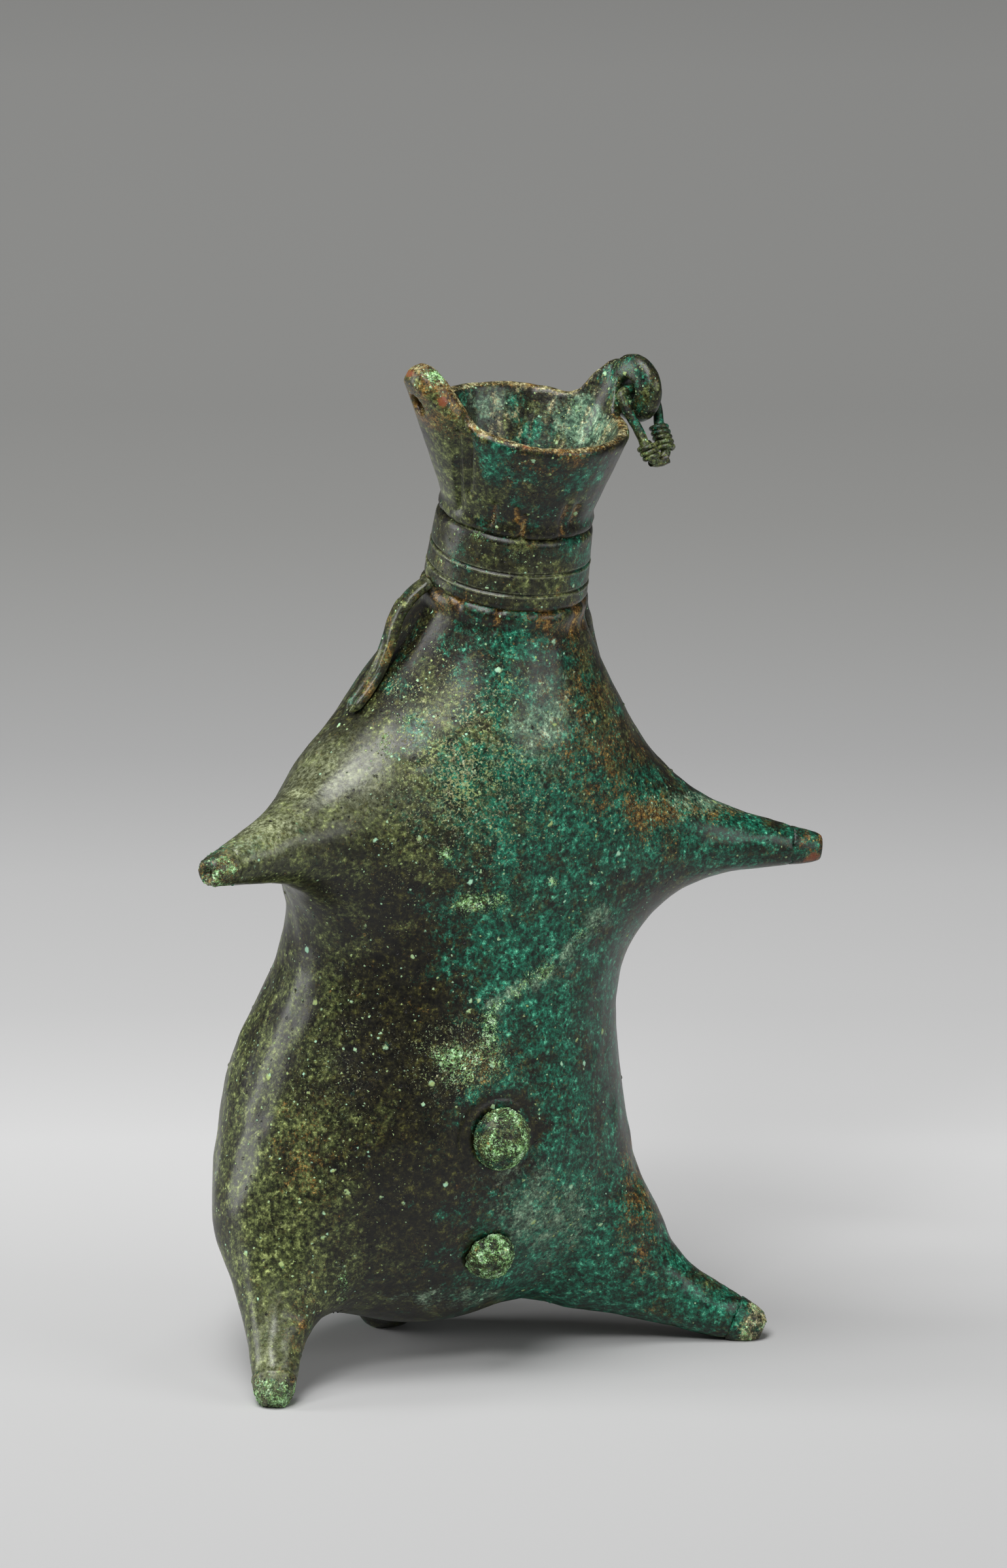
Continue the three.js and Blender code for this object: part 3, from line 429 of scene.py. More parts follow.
def make_camera():
    columns = (PHOTO_CENTRE[0] - STANCE_PIXEL[0]) * PIXEL_MM
    rows = (STANCE_PIXEL[1] - PHOTO_CENTRE[1]) * PIXEL_MM
    eye = STANCE_MM + view_right * columns + view_up * rows + view_back * VIEW_DISTANCE_MM
    data = bpy.data.cameras.new("photo view")
    data.sensor_fit = "VERTICAL"
    data.sensor_height = SENSOR_MM
    data.lens = SENSOR_MM * VIEW_DISTANCE_MM / (PHOTO_HEIGHT * PIXEL_MM)
    data.clip_end = VIEW_REACH_M
    camera = bpy.data.objects.new("photo view", data)
    scene.collection.objects.link(camera)
    turn = Matrix(np.column_stack((view_right, view_up, view_back)).tolist()).to_4x4()
    camera.matrix_world = Matrix.Translation(Vector(eye * MM)) @ turn
    scene.camera = camera


# Greys of the floor by their distance in mm behind the middle of the object, seen from the camera: painted
# light and shade, brightest a little behind the object and darkest in front of it
FLOOR_GREYS = (
    (-330, "666666"),
    (-110, "a7a7a7"),
    (0, "b1b1b1"),
    (95, "c0c0c0"),
    (160, "b4b4b4"),
    (225, "b1b1b1"),
    (290, "a4a4a4"),
    (350, "9e9e9d"),
    (415, "989896"),
    (480, "979795"),
    (680, "ababa9"),
)
FLOOR_HALF_SIZE_M = 4.0
FLOOR_ROUGHNESS = 0.9
FLOOR_SPECULAR = 0.1

# The floor in front of the object turns to a darker grey, painted shade, between these distances to its sides
FLOOR_SIDE_FADE_MM = (90, 450)
FLOOR_SIDE_GREY = "7c7c7c"
FLOOR_FADE_DEPTH_MM = 60


def make_floor():
    half = FLOOR_HALF_SIZE_M
    corners = [(-half, -half, 0), (half, -half, 0), (half, half, 0), (-half, half, 0)]
    mesh = bpy.data.meshes.new("studio floor")
    mesh.from_pydata(corners, [], [(0, 1, 2, 3)])
    floor = bpy.data.objects.new("studio_floor", mesh)
    scene.collection.objects.link(floor)
    finish = Finish("studio floor")
    place = finish.add("ShaderNodeTexCoord").outputs["Object"]
    view_turn = (0, 0, VIEW_TURN)
    turned = finish.add("ShaderNodeMapping", {"vector_type": "TEXTURE"}, Vector=place, Rotation=view_turn)
    across, depth, _ = finish.add("ShaderNodeSeparateXYZ", Vector=turned.outputs[0]).outputs
    front, span = FLOOR_GREYS[0][0], FLOOR_GREYS[-1][0] - FLOOR_GREYS[0][0]
    sweep = finish.add("ShaderNodeValToRGB", Fac=finish.spread(depth, front * MM, (front + span) * MM))
    stops = sweep.color_ramp.elements
    for depth_mm, grey in FLOOR_GREYS[1:-1]:
        stops.new((depth_mm - front) / span).color = colour(grey)
    stops[0].color = colour(FLOOR_GREYS[0][1])
    stops[len(stops) - 1].color = colour(FLOOR_GREYS[-1][1])
    # Painted shade: darker floor to the sides in front of the object
    near, far = FLOOR_SIDE_FADE_MM
    fade = finish.spread(finish.sum("ABSOLUTE", across), near * MM, far * MM, kind="SMOOTHSTEP")
    ahead = finish.spread(depth, FLOOR_FADE_DEPTH_MM * MM, -FLOOR_FADE_DEPTH_MM * MM)
    grey = finish.blend(finish.sum("MULTIPLY", fade, ahead), sweep.outputs[0], colour(FLOOR_SIDE_GREY))
    finish.shade(Base_Color=grey, Roughness=FLOOR_ROUGHNESS, Specular_IOR_Level=FLOOR_SPECULAR)
    mesh.materials.append(finish.material)


# Softboxes: degrees round from the camera and up, distance and size in metres, and brightness
LIGHT_CENTRE_MM = np.array((0.0, 0.0, 60.0))
LIGHTS = {
    "overhead softbox": {"turn": -38, "rise": 72, "distance": 0.95, "size": (0.6, 0.48), "strength": 10.5},
    "front softbox": {"turn": -16, "rise": 45, "distance": 0.95, "size": (0.28, 0.22), "strength": 21.0},
    "left softbox": {"turn": -92, "rise": 17, "distance": 0.95, "size": (0.26, 0.66), "strength": 8.0},
    "right softbox": {"turn": 58, "rise": 20, "distance": 1.0, "size": (0.72, 0.4), "strength": 3.3},
}
SKY_STRENGTH = 0.09


def make_lights():
    for name, light in LIGHTS.items():
        turn = VIEW_TURN + math.radians(light["turn"])
        rise = math.radians(light["rise"])
        away = Vector((math.sin(turn) * math.cos(rise), -math.cos(turn) * math.cos(rise), math.sin(rise)))
        data = bpy.data.lights.new(name, "AREA")
        data.shape = "RECTANGLE"
        data.size, data.size_y = light["size"]
        data.energy = light["strength"] * math.pi * data.size * data.size_y
        lamp = bpy.data.objects.new(name, data)
        scene.collection.objects.link(lamp)
        lamp.location = Vector(LIGHT_CENTRE_MM * MM) + away * light["distance"]
        lamp.rotation_euler = away.to_track_quat("Z", "Y").to_euler()
        lamp.visible_camera = False
    world = bpy.data.worlds.new("studio")
    world.use_nodes = True
    sky = world.node_tree.nodes["Background"]
    sky.inputs["Color"].default_value = colour("ffffff")
    sky.inputs["Strength"].default_value = SKY_STRENGTH
    scene.world = world


# Meshes, with points in millimetres


def mesh_points(mesh):
    points = np.empty(3 * len(mesh.vertices))
    mesh.vertices.foreach_get("co", points)
    return points.reshape(-1, 3) / MM


def mesh_normals(mesh):
    normals = np.empty(3 * len(mesh.vertices))
    mesh.vertex_normals.foreach_get("vector", normals)
    return normals.reshape(-1, 3)


def mesh_edges(mesh):
    edges = np.empty(2 * len(mesh.edges), dtype=np.int32)
    mesh.edges.foreach_get("vertices", edges)
    return edges.reshape(-1, 2)


def place_points(mesh, points):
    mesh.vertices.foreach_set("co", (points * MM).ravel())
    mesh.update()


def raise_points(mesh, lift):
    place_points(mesh, mesh_points(mesh) + mesh_normals(mesh) * lift[:, None])


def joined(meshes):
    """One mesh of several, with its faces turned outward."""
    shape = bmesh.new()
    for mesh in meshes:
        shape.from_mesh(mesh)
    bmesh.ops.recalc_face_normals(shape, faces=shape.faces)
    whole = bpy.data.meshes.new("joined")
    shape.to_mesh(whole)
    shape.free()
    return whole


def mesh_of_rings(name, points, sides, closed=False):
    """Mesh over rings of points in mm, closed on itself or else with both of its ends filled."""
    rings = len(points) // sides
    faces = []
    for ring in range(rings if closed else rings - 1):
        here, there = ring * sides, (ring + 1) % rings * sides
        for side in range(sides):
            beside = (side + 1) % sides
            faces.append((here + side, there + side, there + beside, here + beside))
    if not closed:
        faces += [tuple(range(sides)), tuple(range(len(points) - sides, len(points)))]
    mesh = bpy.data.meshes.new(name)
    mesh.from_pydata((np.array(points) * MM).tolist(), [], faces)
    return joined([mesh])


def neighbour_means(points, edges):
    count = np.bincount(edges.ravel(), minlength=len(points))
    means = []
    for axis in range(3):
        there = np.bincount(edges[:, 0], points[edges[:, 1], axis], len(points))
        back = np.bincount(edges[:, 1], points[edges[:, 0], axis], len(points))
        means.append((there + back) / np.maximum(count, 1))
    return np.column_stack(means)


def smooth(points, edges, rounds, shrink=0.5, swell=0.52):
    """Evens out facets and steps without thinning the shape: each round shrinks it, then swells it back."""
    points = points.copy()
    for _ in range(rounds):
        points += shrink * (neighbour_means(points, edges) - points)
        points -= swell * (neighbour_means(points, edges) - points)
    return points


def evaluated_mesh(piece):
    """Plain mesh of an object with its modifiers, which then go with the object."""
    deps = bpy.context.evaluated_depsgraph_get()
    mesh = bpy.data.meshes.new_from_object(piece.evaluated_get(deps))
    bpy.data.objects.remove(piece)
    return mesh


MERGE_MM = 1e-3


def fine_copy(node, cell_mm, rounds):
    """Evenly meshed, smoothed copy of a CAD node."""
    mesh = frame["nodes"][node].data.copy()
    shape = bmesh.new()
    shape.from_mesh(mesh)
    bmesh.ops.remove_doubles(shape, verts=shape.verts, dist=MERGE_MM * MM)
    shape.to_mesh(mesh)
    shape.free()
    rough = bpy.data.objects.new(node + "_rough", mesh)
    scene.collection.objects.link(rough)
    remesh = rough.modifiers.new("even cells", "REMESH")
    remesh.mode = "VOXEL"
    remesh.voxel_size = cell_mm * MM
    mesh = evaluated_mesh(rough)
    place_points(mesh, smooth(mesh_points(mesh), mesh_edges(mesh), rounds))
    return mesh


SEED_STEPS = (31.7, 17.3, 7.9)


def rumple(points, size_mm, seed):
    """Smooth noise about zero, with waves of a size in mm."""
    shift = Vector([seed * step for step in SEED_STEPS])
    return np.array([noise.noise(Vector(point) / size_mm + shift) for point in points])


def rumples(points, *waves):
    """Sum of smooth noises, each with its strength, its size in mm and its seed."""
    return sum(strength * rumple(points, size_mm, seed) for strength, size_mm, seed in waves)


# How far past the outline the surface still counts as seen in the photograph, and how fast that ends
SEEN_MARGIN = 0.2
SEEN_SHARPNESS = 2.5


class Surface:
    """Points of a piece with their normals, and where the photograph shows them."""

    def __init__(self, points, normals):
        self.points = points
        self.normals = normals
        offset = points - STANCE_MM
        self.columns = STANCE_PIXEL[0] + offset @ view_right / PIXEL_MM
        self.rows = STANCE_PIXEL[1] - offset @ view_up / PIXEL_MM
        self.seen = np.clip((normals @ view_back + SEEN_MARGIN) * SEEN_SHARPNESS, 0, 1)
        self.hidden = 1 - self.seen

    def patches(self, spots):
        """Soft patches centred on named pixels of the photograph, with half-sizes in pixels and strengths."""
        weight = np.zeros(len(self.points))
        for (column, row), (half_width, half_height), strength in spots.values():
            reach = ((self.columns - column) / half_width) ** 2 + ((self.rows - row) / half_height) ** 2
            weight += strength * np.exp(-reach)
        return weight * self.seen

    def stroke(self, route, half_width):
        """Soft line along a route of pixels of the photograph."""
        here = np.column_stack((self.columns, self.rows))
        nearest = np.full(len(self.points), np.inf)
        for start, end in zip(route[:-1], route[1:]):
            start, along = np.array(start, float), np.subtract(end, start)
            share = np.clip((here - start) @ along / (along @ along), 0, 1)
            nearest = np.minimum(nearest, np.linalg.norm(here - start - share[:, None] * along, axis=1))
        return np.exp(-(nearest / half_width) ** 2) * self.seen

    def strokes(self, routes, half_width):
        return np.max([self.stroke(route, half_width) for route in routes], axis=0)


def surface_of(mesh):
    return Surface(mesh_points(mesh), mesh_normals(mesh))


def neck_place(points):
    """Angle round the neck from its right, distance from its axis and rise above the middle of the tie."""
    offset = points - NECK_CENTRE_MM
    right, behind = offset @ neck_right, offset @ neck_back
    return np.arctan2(behind, right), np.hypot(right, behind), offset @ neck_axis


def neck_point(radius, angle, rise):
    outward = math.cos(angle) * neck_right + math.sin(angle) * neck_back
    return NECK_CENTRE_MM + radius * outward + rise * neck_axis


def angle_from(angles, middle):
    """Angles from a middle one, the short way round."""
    return np.arctan2(np.sin(angles - middle), np.cos(angles - middle))


def crests(mesh, sharp_mm):
    """Where a mesh bulges past its neighbours by a sharpness in mm: its worn edges."""
    points = mesh_points(mesh)
    proud = ((points - neighbour_means(points, mesh_edges(mesh))) * mesh_normals(mesh)).sum(axis=1)
    return np.clip(proud / sharp_mm, 0, 1)


def tint(mesh, **shares):
    """Writes the share of each tint to the mesh, for its patina."""
    count = len(mesh.vertices)
    for name in TINTS:
        values = np.broadcast_to(np.asarray(shares.get(name, 0.0), dtype=np.float32), count)
        attribute = mesh.attributes.new(name, "FLOAT", "POINT")
        attribute.data.foreach_set("value", np.ascontiguousarray(np.clip(values, 0, 1)))


def grown(tree, base, **inputs):
    """Plain mesh that a geometry node tree makes of a base mesh and its named inputs."""
    holder = bpy.data.objects.new("holder", base)
    scene.collection.objects.link(holder)
    modifier = holder.modifiers.new("build", "NODES")
    modifier.node_group = tree
    for socket in tree.interface.items_tree:
        name = socket.name.replace(" ", "_")
        if socket.in_out == "INPUT" and name in inputs:
            modifier[socket.identifier] = inputs[name]
    return evaluated_mesh(holder)


def dress(build, given, output, geometry):
    """Ends a geometry node tree: real geometry in the given finish."""
    real = build.add("GeometryNodeRealizeInstances", Geometry=geometry)
    dressed = build.add("GeometryNodeSetMaterial", Geometry=real.outputs[0], Material=given["Finish"])
    build.feed(output, dressed.outputs[0])
    return build.tree


# Sides of the smallest and the largest grain of the crust, as shares of its grain size
GRAIN_LEAST = (0.4, 0.4, 0.3)
GRAIN_MOST = (1.3, 1.3, 0.8)


def make_crust():
    """Adds crystal grains to a mesh, as thick as its pale tint is strong."""
    inputs = {"Ground": GEOMETRY, "Grains": FLOAT, "Grain Size": FLOAT, "Finish": MATERIAL}
    build, given, output = node_group("GeometryNodeTree", "corrosion crust", inputs, "Crusted", GEOMETRY)
    pale = build.add("GeometryNodeInputNamedAttribute", {"data_type": "FLOAT"}, Name="pale").outputs[0]
    thick = build.sum("MULTIPLY", build.sum("POWER", pale, 2.0), given["Grains"])
    spread = build.add("GeometryNodeDistributePointsOnFaces", Mesh=given["Ground"], Density=thick, Seed=7)
    points, turns = spread.outputs["Points"], spread.outputs["Rotation"]
    grain = build.add("GeometryNodeMeshIcoSphere", Radius=1.0, Subdivisions=1).outputs[0]
    sides = build.add("FunctionNodeRandomValue", {"data_type": "FLOAT_VECTOR"}, Seed=3)
    sides.inputs[0].default_value = GRAIN_LEAST
    sides.inputs[1].default_value = GRAIN_MOST
    scale = build.add("ShaderNodeVectorMath", {"operation": "SCALE"}, Vector=sides.outputs[0])
    build.feed(scale.inputs["Scale"], given["Grain Size"])
    placed = build.add("GeometryNodeInstanceOnPoints", Points=points, Instance=grain, Rotation=turns)
    build.feed(placed.inputs["Scale"], scale.outputs[0])
    both = build.add("GeometryNodeJoinGeometry")
    build.feed(both.inputs[0], given["Ground"])
    build.feed(both.inputs[0], placed.outputs[0])
    return dress(build, given, output, both.outputs[0])


CRUST = make_crust()


def with_crust(mesh, material, grains_per_mm2, grain_mm):
    return grown(CRUST, mesh, Grains=grains_per_mm2 / MM ** 2, Grain_Size=grain_mm * MM, Finish=material)


def show(name, mesh, material, node, body="flask"):
    """Shows a mesh as the piece that stands for a CAD node."""
    mesh.name = name
    place_points(mesh, np.clip(mesh_points(mesh), *np.array(cad_box) / MM))
    mesh.materials.clear()
    mesh.materials.append(material)
    mesh.polygons.foreach_set("material_index", np.zeros(len(mesh.polygons), dtype=np.int32))
    mesh.polygons.foreach_set("use_smooth", np.ones(len(mesh.polygons), dtype=bool))
    mesh.update()
    piece = bpy.data.objects.new(name, mesh)
    scene.collection.objects.link(piece)
    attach(piece, body)
    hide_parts(node)


# Skin

SKIN_SPOTS = {
    "olive": {
        "left flank": ((410, 1680), (130, 430), 0.5),
        "left hip": ((420, 1960), (110, 170), 0.45),
        "left shoulder": ((500, 1180), (110, 80), -0.2),
        "middle of the chest": ((680, 1180), (180, 190), 0.4),
        # Painted shade: less olive on the throat darkens it
        "painted shade of the throat": ((720, 990), (110, 60), -0.25),
        "right breast": ((900, 1080), (80, 110), 0.3),
        "left forelimb": ((370, 1310), (90, 60), 0.2),
        "dark of the belly": ((630, 1600), (85, 250), -0.35),
        "right of the belly": ((850, 1650), (130, 330), -0.3),
    },
    "teal": {
        "right of the belly": ((860, 1640), (140, 330), 0.62),
        "right hip": ((900, 1940), (180, 130), 0.6),
        "right hind limb": ((1080, 2010), (120, 60), 0.6),
        "right of the chest": ((850, 1240), (140, 140), 0.5),
        "right forelimb": ((1080, 1270), (180, 70), 0.62),
        "right of the throat": ((780, 1010), (110, 110), 0.4),
        "fold under the chest": ((780, 1450), (150, 80), 0.45),
        "middle of the chest": ((720, 1200), (140, 140), 0.3),
        "dark of the belly": ((600, 1600), (90, 260), -0.3),
        "left flank": ((400, 1700), (110, 400), -0.25),
        "left shoulder": ((480, 1200), (120, 100), -0.2),
    },
    # Film patches on the hide are painted sheen and reflections: on the low belly, the right of the chest,
    # the top of the right forelimb, under the belly and along the left forelimb
    "film": {
        "right of the low belly": ((835, 1850), (100, 90), 0.62),
        "left forelimb": ((385, 1290), (70, 36), 0.35),
        "right of the chest": ((830, 1110), (80, 100), 0.55),
        "top of the right forelimb": ((1060, 1228), (95, 22), 0.6),
        "under the belly": ((690, 1985), (110, 24), 0.45),
    },
    "rust": {
        "right breast": ((905, 1110), (70, 120), 0.42),
        "right armpit": ((985, 1250), (45, 60), 0.4),
        "edge of the right hip": ((978, 1820), (30, 120), 0.5),
        "left of the belly": ((470, 1760), (50, 90), 0.3),
        "left hind limb": ((455, 2030), (35, 60), 0.35),
        "foot of the tie": ((720, 918), (60, 16), 0.4),
        "throat": ((835, 975), (50, 40), 0.32),
        "patch above the navel": ((735, 1640), (45, 40), 0.4),
        "top of the right forelimb": ((1080, 1240), (110, 18), 0.35),
    },
    "mint": {
        "chest": ((700, 1180), (190, 190), 0.72),
        "throat": ((700, 1040), (110, 70), 0.15),
        "left flank": ((480, 1620), (130, 280), 0.3),
        "belly": ((650, 1720), (160, 240), 0.14),
        "patch above the navel": ((715, 1610), (75, 75), 0.6),
        "left forelimb": ((380, 1290), (70, 40), 0.25),
        "right forelimb": ((1050, 1270), (150, 60), 0.25),
        "left hip": ((480, 1990), (70, 70), 0.3),
        # These two mint patches are partly painted sheen: they brighten the low belly and the top of the
        # right forelimb
        "low belly": ((850, 1850), (90, 90), 0.4),
        "top of the right forelimb": ((1050, 1232), (110, 26), 0.4),
        "worn left shoulder": ((490, 1200), (100, 80), -0.3),
    },
    "pale": {
        "disc on the chest": ((682, 1306), (13, 13), 1.2),
        "left patch under the chest": ((714, 1382), (32, 22), 0.85),
        "right patch under the chest": ((765, 1376), (28, 16), 0.75),
        "mint patch above the navel": ((688, 1612), (34, 20), 0.75),
        "top of that patch": ((748, 1578), (16, 34), 0.55),
        "right of that patch": ((765, 1622), (24, 34), 0.42),
        "foot of that patch": ((705, 1652), (48, 20), 0.48),
        "middle of that patch": ((722, 1622), (52, 42), 0.26),
        "cluster on the left shoulder": ((590, 1142), (14, 24), 0.68),
        "spots beside it": ((628, 1102), (30, 9), 0.55),
        "right breast": ((843, 1348), (10, 12), 0.9),
        "streak by the left hip": ((525, 1965), (14, 40), 0.55),
    },
    "pitted": {
        "left shoulder": ((575, 1185), (60, 34), 0.75),
        "by the sheath": ((697, 1870), (16, 40), 0.4),
        "middle of the chest": ((700, 1200), (110, 80), 0.35),
        "low belly": ((610, 1975), (50, 20), 0.3),
    },
    # The broad patches on the left shoulder and limbs and along the ridge of the left forelimb are painted
    # highlight over real wear; the scuff is real wear
    "crest": {
        "scuff on the left forelimb": ((456, 1212), (18, 6), 0.7),
        "ridge of the left forelimb": ((425, 1262), (40, 12), 0.4),
        "left shoulder": ((510, 1190), (95, 62), 0.6),
        "left forelimb": ((400, 1275), (75, 40), 0.6),
        "left hind limb": ((415, 2060), (26, 75), 0.65),
    },
}
# Shares of the tints all over the hide and on its far side, and how they follow wide waves there
SKIN_ALL_OVER = {"olive": 0.32, "teal": 0.2, "rust": 0.2, "mint": 0.14}
SKIN_FAR_SIDE = {"olive": 0.3, "teal": 0.25, "film": 0.1, "rust": 0.12, "mint": 0.2, "pale": 0.1}
SKIN_FAR_WAVES = {"olive": 0.5, "teal": -0.6}
# How the tints follow the mottling, and where their shares level off
SKIN_MOTTLING = {"olive": 1.0, "teal": -1.0, "film": 0.4, "rust": 0.5, "mint": -0.5}
SKIN_MOST = {"olive": 0.8, "teal": 0.8, "rust": 0.8, "pale": 0.74}
CREST_EVENNESS = 0.9

SCAR_ROUTE = ((918, 1398), (880, 1440), (852, 1470), (812, 1500), (775, 1522), (755, 1545))
CRACK_ROUTE = ((618, 1168), (632, 1174), (652, 1171))
FOLDS_UNDER_TIE = (
    ((708, 915), (703, 935)),
    ((766, 932), (756, 962)),
    ((829, 930), (822, 958)),
    ((838, 930), (834, 964)),
    ((872, 918), (876, 968)),
    ((884, 915), (893, 960)),
)
# Half-widths of those lines in pixels, and their heights in mm
SCAR_HALF_WIDTH = 21
CRACK_HALF_WIDTH = 4
FOLD_HALF_WIDTH = 5
SCAR_RISE_MM = 0.22
SCAR_LUMPS_MM = 0.3
CRACK_DEPTH_MM = 0.3
FOLD_DEPTH_MM = 0.45
PALE_CRUST_MM = 0.3

# What the scar, the folds and the groove round the navel add to the tints
SCAR_FILM = 0.6
SCAR_PALE = 0.38
SCAR_PALE_WAVES = 0.6
FOLD_RUST = 0.4
# Taking the green tints out of the groove round the navel darkens it: painted shade in the recess
NAVEL_GROOVE_TINTS = {"olive": -0.5, "teal": -0.3, "mint": -0.4}

# Grooves round the studs: distance from the middle, half-width and depth
NAVEL_GROOVE_MM = (5.3, 0.9, 0.5)
SHEATH_GROOVE_MM = (4.5, 0.8, 0.25)

# How far the hide swells where the tie gathers it, and its pleats there
GATHER_MM = 1.0
GATHER_BELOW_MM = 0.6
GATHER_HALF_HEIGHT_MM = 1.1
GATHER_END_MM = -1.5
PLEAT_COUNT = 13
PLEAT_HALF_WIDTH_MM = 0.7
PLEAT_DEPTH_MM = 0.3
PLEAT_REACH_MM = 7.0
PLEAT_END_MM = -1
PLEAT_FADE = 1.5
PLEAT_WANDER = 0.35
PLEAT_WANDER_STEP = 7.1
PLEAT_WANDER_ABOVE = 2.0
PLEAT_UNEVENNESS = 0.4
PLEAT_UNEVENNESS_STEP = 3.7

SKIN_CELL_MM = 0.63
SKIN_SMOOTHING = 16


def pleats(points, above):
    """Grooves that fan out from the tie, over the bag or over the mouth, deepest at the tie."""
    angle, radius, rise = neck_place(points)
    from_tie = rise - TIE_TOP_MM if above else -rise - TIE_TOP_MM
    fade = np.clip(1 - from_tie / PLEAT_REACH_MM, 0, 1) ** PLEAT_FADE * (from_tie > PLEAT_END_MM)
    wander_start = PLEAT_WANDER_ABOVE if above else 0.0
    depth = np.zeros(len(points))
    for pleat in range(PLEAT_COUNT):
        wander = PLEAT_WANDER * math.sin(PLEAT_WANDER_STEP * pleat + wander_start)
        turn = angle_from(angle, 2 * math.pi * (pleat + wander) / PLEAT_COUNT)
        strength = 1 - PLEAT_UNEVENNESS + PLEAT_UNEVENNESS * math.sin(PLEAT_UNEVENNESS_STEP * pleat)
        depth += strength * np.exp(-(turn * radius / PLEAT_HALF_WIDTH_MM) ** 2)
    return PLEAT_DEPTH_MM * depth * fade


def stud_groove(points, node, distance_mm, half_width_mm):
    """Ring round a stud, 1 at a distance from its middle."""
    low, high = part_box(node)
    middle = np.array((low + high) / 2) / MM
    distance = np.linalg.norm(points - middle, axis=1)
    return np.exp(-((distance - distance_mm) / half_width_mm) ** 2)


def levelled(share, most):
    """Share that levels off, so that other tints still show through."""
    return most * np.tanh(np.maximum(share, 0) / most)


def skin_tints(skin):
    """Tints of the hide, as the photograph shows them and in like mixture on its far side."""
    wide = rumple(skin.points, 13.0, seed=4)
    mottle = rumples(skin.points, (0.3, 4.5, 5), (0.2, 1.9, 6))
    shares = {}
    for name, spots in SKIN_SPOTS.items():
        far_side = SKIN_FAR_SIDE.get(name, 0.0) + SKIN_FAR_WAVES.get(name, 0.0) * wide
        share = SKIN_ALL_OVER.get(name, 0.0) + skin.patches(spots) + skin.hidden * far_side
        share += SKIN_MOTTLING.get(name, 0.0) * mottle
        shares[name] = levelled(share, SKIN_MOST[name]) if name in SKIN_MOST else share
    shares["crest"] *= CREST_EVENNESS + mottle
    return shares


def make_skin(material):
    """Hide of the flask. Gives its surface, for what lies on it."""
    mesh = fine_copy("skin_body", SKIN_CELL_MM, SKIN_SMOOTHING)
    skin = surface_of(mesh)
    points = skin.points
    shares = skin_tints(skin)
    scar = skin.stroke(SCAR_ROUTE, SCAR_HALF_WIDTH)
    fold = skin.strokes(FOLDS_UNDER_TIE, FOLD_HALF_WIDTH)
    *navel_place, navel_depth = NAVEL_GROOVE_MM
    *sheath_place, sheath_depth = SHEATH_GROOVE_MM
    navel_groove = stud_groove(points, "navel_boss", *navel_place)
    below_tie = -TIE_TOP_MM - neck_place(points)[2]
    gathered = np.exp(-((below_tie - GATHER_BELOW_MM) / GATHER_HALF_HEIGHT_MM) ** 2)
    lift = rumples(points, (0.1, 11.0, 1), (0.04, 3.2, 2))
    lift += GATHER_MM * gathered * (below_tie > GATHER_END_MM)
    lift -= pleats(points, above=False) * skin.hidden + FOLD_DEPTH_MM * fold
    lift += scar * (SCAR_RISE_MM + SCAR_LUMPS_MM * rumple(points, 1.3, seed=3))
    lift += PALE_CRUST_MM * np.clip(shares["pale"], 0, 1) * (0.5 + rumple(points, 1.1, seed=7))
    lift -= navel_depth * navel_groove + sheath_depth * stud_groove(points, "sheath_boss", *sheath_place)
    lift -= CRACK_DEPTH_MM * skin.stroke(CRACK_ROUTE, CRACK_HALF_WIDTH)
    raise_points(mesh, lift)
    # Painted shade in the groove round the navel
    for name, amount in NAVEL_GROOVE_TINTS.items():
        shares[name] += amount * navel_groove
    shares["rust"] += FOLD_RUST * fold
    shares["film"] += SCAR_FILM * scar
    shares["pale"] += scar * (SCAR_PALE + SCAR_PALE_WAVES * rumple(points, 2.5, seed=8))
    tint(mesh, **shares)
    faces = [tuple(face.vertices) for face in mesh.polygons]
    hide = BVHTree.FromPolygons(mesh_points(mesh).tolist(), faces)
    crusted = with_crust(mesh, material, grains_per_mm2=5.0, grain_mm=0.22)
    show("skin_of_the_flask", crusted, material, "skin_body")
    return hide


# Mouth

MOUTH_SPOTS = {
    "olive": {
        "left fold": ((680, 690), (30, 120), 0.5),
        "low front": ((730, 770), (60, 30), 0.25),
    },
    "teal": {
        "front": ((748, 700), (34, 44), 0.6),
        "low front": ((790, 750), (50, 60), 0.32),
        "right side": ((890, 740), (45, 70), 0.55),
        "beside the left ear": ((727, 662), (10, 8), 0.7),
    },
    "film": {
        "right of the inside": ((893, 645), (40, 36), 0.8),
        "left of the inside": ((745, 625), (26, 26), 0.35),
    },
    "rust": {
        "middle": ((800, 725), (50, 30), 0.24),
        "under the rim": ((880, 705), (30, 20), 0.35),
    },
    "bone": {},
    "mint": {},
    "cuprite": {
        "spot on the left ear": ((678, 619), (9, 9), 1.0),
        "left spot of the rim": ((805, 686), (10, 6), 0.6),
        "right spot of the rim": ((857, 692), (14, 5), 0.5),
        "crown of the left ear": ((627, 576), (16, 9), 0.6),
    },
    "pale": {
        "right of the inside": ((880, 625), (22, 20), 0.5),
        "crown of the left ear": ((668, 580), (26, 16), 0.62),
        "spot on the right ear": ((959, 614), (9, 9), 0.9),
        "eye of the right ear": ((940, 585), (12, 16), 0.5),
    },
}
